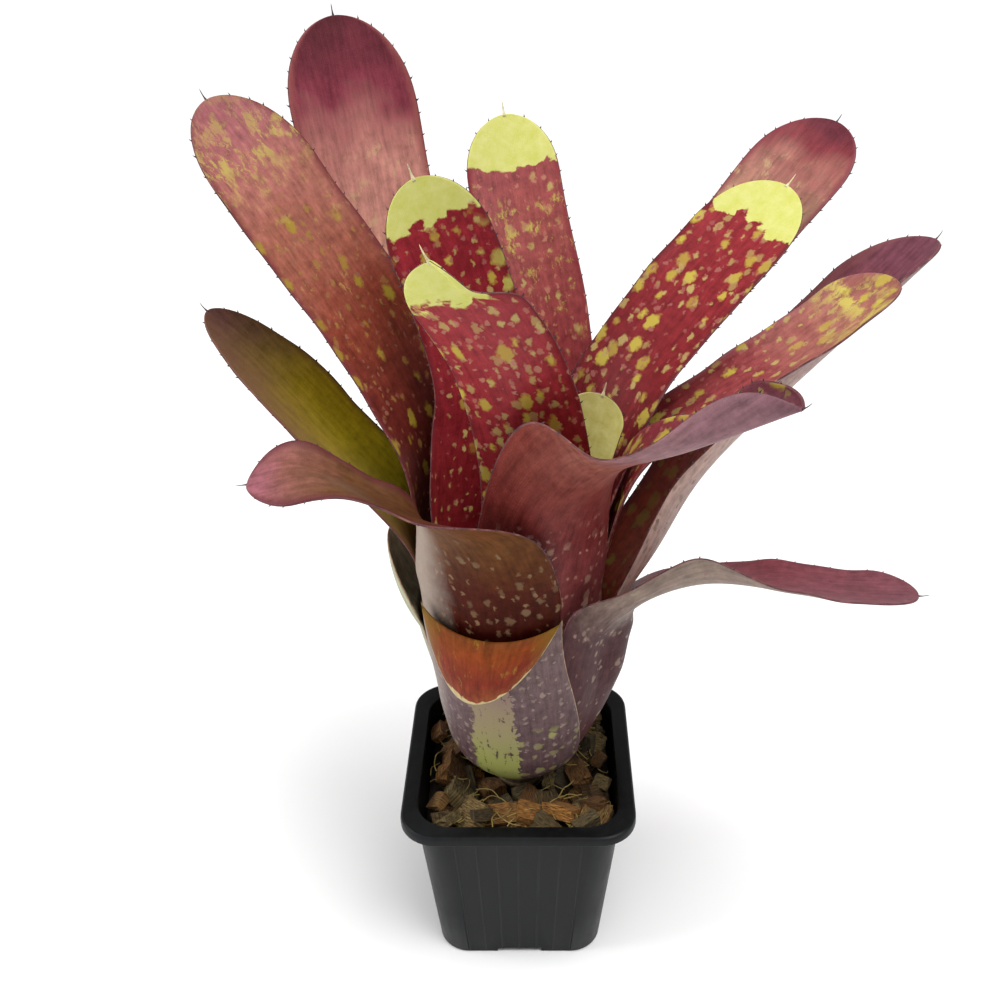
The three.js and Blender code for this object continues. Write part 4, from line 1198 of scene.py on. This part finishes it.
def pot_outline(half, flute=0.0):
    """Points of a square with round corners, with upright ridges on each side."""
    corner = corner_at(half)
    share = half / WALL_TOP_HALF
    points = []
    for quarter in range(4):
        middle = math.radians(45 + 90 * quarter)
        centre = [math.copysign(half - corner, way) for way in (math.cos(middle), math.sin(middle))]
        for step in range(CORNER_STEPS + 1):
            angle = math.radians(90 * (quarter + step / CORNER_STEPS))
            points.append((centre[0] + corner * math.cos(angle), centre[1] + corner * math.sin(angle)))
        # the side that follows runs anticlockwise, seen from above
        out = outward(90 * (quarter + 1))
        ahead = sideways(90 * (quarter + 1))
        for ridge in FLUTES:
            for reach, depth in ((-FLUTE_HALF, -flute), (0.0, 0.0), (FLUTE_HALF, -flute)):
                point = out * (half + depth) + ahead * (ridge * share + reach)
                points.append((point.x, point.y))
    return points


print("the pot's outline has", len(pot_outline(BASE_HALF)), "points")

# %% [markdown]
# ### The wall and the rim
#
# One ring of points is extruded up the outside, over the rim and down the inside. After each
# extrusion the ring is set to the outline of that height, which gives the taper and the flutes.

# %% The wall and the rim
def ring_loft(name, rings):
    """Extrudes one ring of points through (half width, height, flute depth) stops and caps both ends."""
    outline = pot_outline(rings[0][0], rings[0][2])
    deselect()
    bpy.ops.mesh.primitive_circle_add(vertices=len(outline), radius=rings[0][0] * MM)
    made = bpy.context.object
    made.name = name
    bpy.ops.object.mode_set(mode="EDIT")
    shell = bmesh.from_edit_mesh(made.data)
    place = shell.verts.layers.int.new("place")
    for number, vertex in enumerate(shell.verts):
        vertex[place] = number
    for number, (half, height, flute) in enumerate(rings):
        if number:
            bpy.ops.mesh.extrude_region_move(TRANSFORM_OT_translate={"value": (0, 0, MM)})
            shell = bmesh.from_edit_mesh(made.data)
            place = shell.verts.layers.int["place"]
        outline = pot_outline(half, flute)
        for vertex in shell.verts:
            if vertex.select:
                x, y = outline[vertex[place]]
                vertex.co = Vector((x, y, height)) * MM
        if number in (0, len(rings) - 1):
            bpy.ops.mesh.edge_face_add()
    bmesh.update_edit_mesh(made.data)
    bpy.ops.mesh.select_all(action="SELECT")
    bpy.ops.mesh.normals_make_consistent(inside=False)
    bpy.ops.object.mode_set(mode="OBJECT")
    return made


skirt_z = POT_HEIGHT - SKIRT
skirt_half = RIM_HALF - SKIRT_WALL
mouth = RIM_HALF - RIM_WIDTH
pot = ring_loft("pot_shell", [
    (BASE_HALF - 1.0, 0, 0), (BASE_HALF - 0.3, 0.3, 0), (wall_half(1.2), 1.2, FLUTE_DEPTH),
    (wall_half(25), 25, FLUTE_DEPTH), (wall_half(50), 50, FLUTE_DEPTH),
    (wall_half(skirt_z), skirt_z, FLUTE_DEPTH), (wall_half(skirt_z), POT_HEIGHT - LIP, 0),
    (skirt_half, POT_HEIGHT - LIP, 0), (skirt_half, skirt_z + 0.2, 0), (skirt_half + 0.3, skirt_z, 0),
    (RIM_HALF - 0.2, skirt_z, 0), (RIM_HALF, skirt_z + 0.3, 0),
    (RIM_HALF, POT_HEIGHT - 1.2, 0), (RIM_HALF - 0.25, POT_HEIGHT - 0.45, 0), (RIM_HALF - 0.8, POT_HEIGHT, 0),
    (mouth + 0.8, POT_HEIGHT, 0), (mouth + 0.2, POT_HEIGHT - 0.3, 0), (mouth, POT_HEIGHT - 1.0, 0),
    (wall_half(skirt_z) - WALL, skirt_z, 0), (wall_half(FLOOR + 1) - WALL, FLOOR + 1, 0),
    (wall_half(FLOOR) - WALL - 1, FLOOR, 0),
])
print("pot before its cuts:", len(pot.data.polygons), "faces")

# %% [markdown]
# ### Notches and holes
#
# Water leaves through four round holes in the floor and through a notch under each side, so that
# the pot doesn't seal itself to a bench. Both could be modelled into the ring, but a Boolean with
# a plain block and a plain rod keeps the ring simple.

# %% Notches and holes
def cut(target, cutter):
    """Takes the cutter's shape out of the target."""
    tool = target.modifiers.new("cut", "BOOLEAN")
    tool.operation = "DIFFERENCE"
    tool.solver = "EXACT"
    tool.object = cutter
    select_only(target)
    bpy.ops.object.modifier_apply(modifier="cut")
    bpy.data.objects.remove(cutter)


NOTCH_WIDTH = 18
NOTCH_HEIGHT = 2.2
NOTCH_REACH = 9
HOLE_RADIUS = 3.2
HOLE_OFFSET = 17
HOLE_TURN = 0.7                 # radians, so that each hole falls in a corner of the floor
for side in range(4):
    angle = math.radians(90 * side)
    reach = BASE_HALF + 1 - NOTCH_REACH / 2
    deselect()
    bpy.ops.mesh.primitive_cube_add(
        size=MM, location=(reach * math.sin(angle) * MM, -reach * math.cos(angle) * MM, 0),
        rotation=(0, 0, angle), scale=(NOTCH_WIDTH, NOTCH_REACH, 2 * NOTCH_HEIGHT))
    cut(pot, bpy.context.object)
    corner = (math.cos(angle + HOLE_TURN), math.sin(angle + HOLE_TURN))
    x, y = [HOLE_OFFSET * math.copysign(1, value) * MM for value in corner]
    deselect()
    bpy.ops.mesh.primitive_cylinder_add(vertices=24, radius=HOLE_RADIUS * MM, depth=4 * FLOOR * MM,
                                        location=(x, y, 0))
    cut(pot, bpy.context.object)
print("pot after its cuts:", len(pot.data.polygons), "faces")

# %% [markdown]
# ### Moulded plastic
#
# Polypropylene leaves the mould with a satin skin and picks up fine scuffs from every bench. One
# flat black would look like a hole, so a smeared noise makes parts of it paler and rougher, and a
# very fine one gives the grain of the mould.

# %% Moulded plastic
PLASTIC, tree, shader = new_material("polypropylene_moulded_black")
# black with a satin shine; fine scuffs catch the light as paler, rougher smears
place = add(tree, "TexCoord").outputs["Object"]
smears = add(tree, "Mapping", {0: place, "Scale": (300, 300, 60)})
scuffs = add(tree, "TexNoise", {"Vector": smears, "Scale": 1.0, "Detail": 5.0, "Roughness": 0.65})
cloud = add(tree, "TexNoise", {"Vector": place, "Scale": 45.0, "Detail": 3.0})
both = add(tree, "Math", {0: scuffs, 1: cloud}, operation="MULTIPLY")
black = add(tree, "ValToRGB", {0: both}, [(0.15, "#090a0b"), (0.45, "#151719")])
shine = add(tree, "MapRange", {0: both, 1: 0.1, 2: 0.45, 3: 0.34, 4: 0.52})
grit = add(tree, "TexNoise", {"Vector": place, "Scale": 1600.0, "Detail": 2.0})
bump = add(tree, "Bump", {"Height": grit, "Strength": 0.08, "Distance": 0.0002})
fill(tree, shader, {"Base Color": black, "Roughness": shine, "Normal": bump, "IOR": 1.49,
                    "Specular IOR Level": 0.17})
pot.data.materials.append(PLASTIC)
select_only(pot)
bpy.ops.object.shade_smooth_by_angle(angle=math.radians(28))
finish_piece(pot, "pot")
print("pot:", PLASTIC.name)

# %% [markdown]
# ## The husk mix
#
# The pot holds coconut husk, cut into chips of about 10 mm whose fibres fray at the ends, over a
# nearly black bed, which is painted shade for the gaps between the chips. One finish could serve
# for both, but dry chips show their strands and each has weathered in its own way, and the bed
# shows only crumbs. Loose fibres are paler.

# %% The finishes of the husk
HUSK, tree, shader = new_material("coconut_husk_dry_fibre")
# dull and stringy: fibres of 0.4 mm run along each chip, with dark gaps between them, and every
# chip has a tone of its own, from fresh orange-tan to weathered olive-grey
chip_map = add(tree, "UVMap", uv_map=LENGTHS)
strands = add(tree, "Mapping", {0: chip_map, "Scale": (240, 26, 1)})
fibres = add(tree, "TexNoise", {"Vector": strands, "Scale": 1.0, "Detail": 4.0, "Roughness": 0.6})
whole = add(tree, "VectorMath", {0: chip_map}, operation="FLOOR")
chip_tone = add(tree, "TexWhiteNoise", {"Vector": whole}, noise_dimensions="2D")
fresh = add(tree, "ValToRGB", {0: fibres},
            [(0.36, "#2a1806"), (0.46, "#7c4e1a"), (0.6, "#a87432"), (0.78, "#c89c5a")])
weathered = add(tree, "ValToRGB", {0: fibres},
                [(0.36, "#1c150a"), (0.48, "#574626"), (0.62, "#7c6a3c"), (0.8, "#a09060")])
age = add(tree, "MapRange", {0: chip_tone.outputs["Value"], 1: 0.22, 2: 0.66})
both = add(tree, "Mix", {0: age, 6: fresh, 7: weathered}, data_type="RGBA")
draws = add(tree, "SeparateColor", {0: chip_tone.outputs["Color"]})
value = add(tree, "MapRange", {0: draws.outputs[1], 3: 0.3, 4: 1.15})
tone = add(tree, "HueSaturation", {"Color": both.outputs[2], "Value": value})
bump = add(tree, "Bump", {"Height": fibres, "Strength": 0.9, "Distance": 0.0009})
fill(tree, shader, {"Base Color": tone, "Normal": bump, "Roughness": 0.88})

BED_SHADE, tree, shader = new_material("coconut_husk_bed_painted_shade")
# nearly black, painted shade for the gaps between the chips, with brown crumbs
place = add(tree, "TexCoord").outputs["Object"]
crumbs = add(tree, "TexNoise", {"Vector": place, "Scale": 260.0, "Detail": 5.0, "Roughness": 0.7})
tone = add(tree, "ValToRGB", {0: crumbs}, [(0.35, "#0f0a07"), (0.6, "#2c1d12"), (0.8, "#4f3820")])
bump = add(tree, "Bump", {"Height": crumbs, "Strength": 1.0, "Distance": 0.001})
fill(tree, shader, {"Base Color": tone, "Normal": bump, "Roughness": 0.85})

# a loose fibre is paler than the chip that it came from, straw to brown
FIBRE = dry_finish("coconut_fibre_loose", 0.7, 120.0, [(0.35, "#5c4a20"), (0.6, "#9a8848")])
print("husk finishes:", HUSK.name, BED_SHADE.name, FIBRE.name)

# %% [markdown]
# ### The bed
#
# Below the chips the pot is simply full. The bed could be left out, but then the gaps between the
# chips would show an empty pot. It is lofted like the pot, a little inside its wall, and a round
# hole is cut for the stem.

# %% The bed
ROOM = 0.35                     # mm that the bed stays off the wall
BED_TOP = 60
STEM_HOLE_RADIUS = 10.4
STEM_HOLE_FLOOR = 36.6
STEM_HOLE_DEPTH = 40
inside = wall_half(BED_TOP) - WALL - ROOM
bed = ring_loft("bed", [
    (wall_half(FLOOR) - WALL - 0.8, FLOOR + ROOM, 0), (wall_half(30) - WALL - ROOM, 30, 0),
    (inside, BED_TOP, 0), (inside - 1.5, 61.5, 0), (inside - 8, 61, 0), (inside - 18, 61.5, 0),
])
# its nearly black finish is painted shade for the gaps between the chips
bed.data.materials.append(BED_SHADE)
deselect()
bpy.ops.mesh.primitive_cylinder_add(
    vertices=32, radius=STEM_HOLE_RADIUS * MM, depth=STEM_HOLE_DEPTH * MM,
    location=(FOOT[0] * MM, FOOT[1] * MM, (STEM_HOLE_FLOOR + STEM_HOLE_DEPTH / 2) * MM))
cut(bed, bpy.context.object)
print("bed:", len(bed.data.polygons), "faces")

# %% [markdown]
# ### Husk chips
#
# Each chip is a rough block of fibres with frayed ends. Scanned chips would be heavy, so a few
# are modelled, each from a cube that is subdivided and pushed about. They have few faces, because
# about a hundred copies follow.

# %% Husk chips
CHIP_SIZES = ((14, 12, 8), (12, 13, 7), (15, 9, 6.5), (10, 10, 8), (14, 13, 6), (10, 8, 6))


def husk_chip(name, length, width, thickness, seed):
    """A rough block of fibres with frayed ends, a few dozen faces."""
    deselect()
    bpy.ops.mesh.primitive_cube_add(size=1)
    made = bpy.context.object
    made.name = name
    bpy.ops.object.mode_set(mode="EDIT")
    bpy.ops.mesh.subdivide(number_cuts=2)
    bpy.ops.object.mode_set(mode="OBJECT")
    shape = random.Random(seed)
    bow = shape.uniform(-0.3, 0.3)
    for vertex in made.data.vertices:
        x, y, z = vertex.co
        end = abs(y) > 0.49
        fray = shape.uniform(-0.1, 0.2) if end else 0
        vertex.co = ((x + shape.uniform(-0.05, 0.05)) * width, y * (1 + fray) * length,
                     (z * (0.86 if end else 1.0) + shape.uniform(-0.07, 0.07) + bow * x * x) * thickness)
    layer = made.data.uv_layers[0]
    layer.name = LENGTHS
    for polygon in made.data.polygons:
        flat = abs(polygon.normal.x) > 0.7
        for index in polygon.loop_indices:
            co = made.data.vertices[made.data.loops[index].vertex_index].co
            layer.data[index].uv = (0.5 + (co.z if flat else co.x) / 100, 0.5 + co.y / 100)
    made.data.materials.append(HUSK)
    return made


MODELS = [husk_chip(f"chip_{k}", *size, 40 + k) for k, size in enumerate(CHIP_SIZES)]
print(len(MODELS), "chips, each of", len(MODELS[0].data.polygons), "faces")

# %% [markdown]
# ### Filling the pot
#
# A heap could be dropped with rigid-body physics, which is slow and hard to steer. Here copies
# are tried at chance places, level by level, with a turn and a size of their own, and kept where
# there is room for them.

# %% Filling the pot
TONES = 60                      # a chip's map is moved by whole units, which pick its tone
CHIP_GAP = 0.4                  # mm that a chip stays off the wall and the stem
draw = random.Random(23)
chips = []
placed = []


def has_room(places):
    """Whether every point of a chip is inside the pot, beside the stem and below the leaves."""
    for x, y, z in places:
        half = wall_half(min(z, POT_HEIGHT - SKIRT)) - WALL - CHIP_GAP
        corner = corner_at(half)
        beyond = math.hypot(max(abs(x) - half + corner, 0), max(abs(y) - half + corner, 0))
        away = math.hypot(x - FOOT[0], y - FOOT[1])
        if beyond > corner or away < STEM_HOLE_RADIUS + CHIP_GAP or z > POT_HEIGHT - 0.8:
            return False
        for (low, height), (high, _) in zip(SHEATH, SHEATH[1:3]):
            if low <= away < high + 1 and z > height - 1.2:
                return False
    return True


def lay_chip(x, y, z, size, tilt):
    """Copies a chip to a place in the mix, turned at random and given a tone of its own."""
    chip = draw.choice(MODELS)
    turn = Matrix.Rotation(draw.uniform(0, math.tau), 4, "Z")
    for axis in "XY":
        turn = turn @ Matrix.Rotation(draw.uniform(-tilt, tilt), 4, axis)
    lay = Matrix.Translation((x, y, z)) @ turn @ Matrix.Scale(size, 4)
    shift = Vector((draw.randrange(TONES), draw.randrange(TONES)))
    if not has_room([lay @ vertex.co for vertex in chip.data.vertices]):
        return False
    made = chip.copy()
    made.data = chip.data.copy()
    made.data.transform(Matrix.Scale(MM, 4) @ lay)
    for item in made.data.uv_layers[0].data:
        item.uv = item.uv + shift
    scene.collection.objects.link(made)
    chips.append(made)
    return True


# (height, tries, size, least distance apart, largest tilt, how far from the middle they start)
LEVELS = ((59.0, 500, 0.95, 6.5, 0.5, 0), (64.5, 700, 0.95, 10.0, 0.8, 0), (69.0, 900, 0.9, 11.5, 0.9, 0),
          (72.6, 700, 0.68, 9.0, 0.8, 26))
for level, count, size, apart, tilt, start in LEVELS:
    for _ in range(count):
        x, y = draw.uniform(-inside, inside), draw.uniform(-inside, inside)
        near = any(math.hypot(x - px, y - py) < apart and level == pl for px, py, pl in placed)
        if near or max(abs(x), abs(y)) < start:
            continue
        if lay_chip(x, y, level + draw.uniform(-0.8, 1.2), size * draw.uniform(0.8, 1.05), tilt):
            placed.append((x, y, level))
print(len(chips), "husk chips in the levels")

# %% [markdown]
# ### Chips round the foot
#
# The big chips leave little room round the foot of the leaves. Small ones are tried there in a
# ring, and stay where they touch neither the leaves nor their neighbours' room.

# %% Chips round the foot
SEAT_CHIPS = 40                 # small chips tried round the foot of the leaves
SEAT = 0                        # the level that they are noted under
SEAT_RING = (14.0, 17.0)        # mm from the stem's middle
SEAT_HEIGHT = (68.5, 71)
SEAT_APART = 5.5
SEAT_SIZE = 0.6
SEAT_TILT = 0.5
for number in range(SEAT_CHIPS):
    angle = math.tau * (number + draw.uniform(-0.25, 0.25)) / SEAT_CHIPS
    away = draw.uniform(*SEAT_RING)
    x, y = FOOT[0] + away * math.cos(angle), FOOT[1] + away * math.sin(angle)
    if all(math.hypot(x - px, y - py) > SEAT_APART or pl > SEAT for px, py, pl in placed):
        if lay_chip(x, y, draw.uniform(*SEAT_HEIGHT), SEAT_SIZE, SEAT_TILT):
            placed.append((x, y, SEAT))
for model in MODELS:
    bpy.data.objects.remove(model)
print(len(chips), "husk chips in all")

# %% [markdown]
# ### Loose fibres
#
# Fine straw-coloured fibres curl on top of the chips. Each is a short wandering curve with a
# round bevel, which is much lighter than a modelled tube, and all of them become one mesh.

# %% Loose fibres
FIBRE_COUNT = 130
FIBRE_REACH = 34                # mm from the middle within which they start
FIBRE_BARE = 24                 # mm round the leaves' foot that stay free of them
FIBRE_RADIUS = 0.22
FIBRE_POINTS = 5
FIBRE_STEP = (2.2, 3.6)         # mm from point to point
FIBRE_START = (69, 74)          # heights at which they start, and between which they stay
FIBRE_BAND = (67, 76)
threads = bpy.data.curves.new("loose_fibres", "CURVE")
threads.dimensions = "3D"
threads.bevel_depth = FIBRE_RADIUS * MM
threads.bevel_resolution = 0
threads.resolution_u = 3
for _ in range(FIBRE_COUNT):
    x, y = draw.uniform(-FIBRE_REACH, FIBRE_REACH), draw.uniform(-FIBRE_REACH, FIBRE_REACH)
    if math.hypot(x - FOOT[0], y - FOOT[1]) < FIBRE_BARE:
        continue
    heading = draw.uniform(0, math.tau)
    bend = draw.uniform(-0.5, 0.5)
    spline = threads.splines.new("BEZIER")
    spline.bezier_points.add(FIBRE_POINTS - 1)
    place = Vector((x, y, draw.uniform(*FIBRE_START)))
    for point in spline.bezier_points:
        point.co = place * MM
        point.handle_left_type = point.handle_right_type = "AUTO"
        heading += bend + draw.uniform(-0.35, 0.35)
        ahead = Vector((math.cos(heading), math.sin(heading), draw.uniform(-0.25, 0.3)))
        place = place + ahead * draw.uniform(*FIBRE_STEP)
        place.x = min(max(place.x, -inside + 1), inside - 1)
        place.y = min(max(place.y, -inside + 1), inside - 1)
        place.z = min(max(place.z, FIBRE_BAND[0]), FIBRE_BAND[1])
fibre_tangle = bpy.data.objects.new("loose_fibres", threads)
scene.collection.objects.link(fibre_tangle)
select_only(fibre_tangle)
bpy.ops.object.convert(target="MESH")
fibre_tangle = bpy.context.object
fibre_tangle.data.materials.clear()
fibre_tangle.data.materials.append(FIBRE)
join(bed, [*chips, fibre_tangle])
finish_piece(bed, "husk_mix")
print("husk mix:", len(bed.data.polygons), "faces")
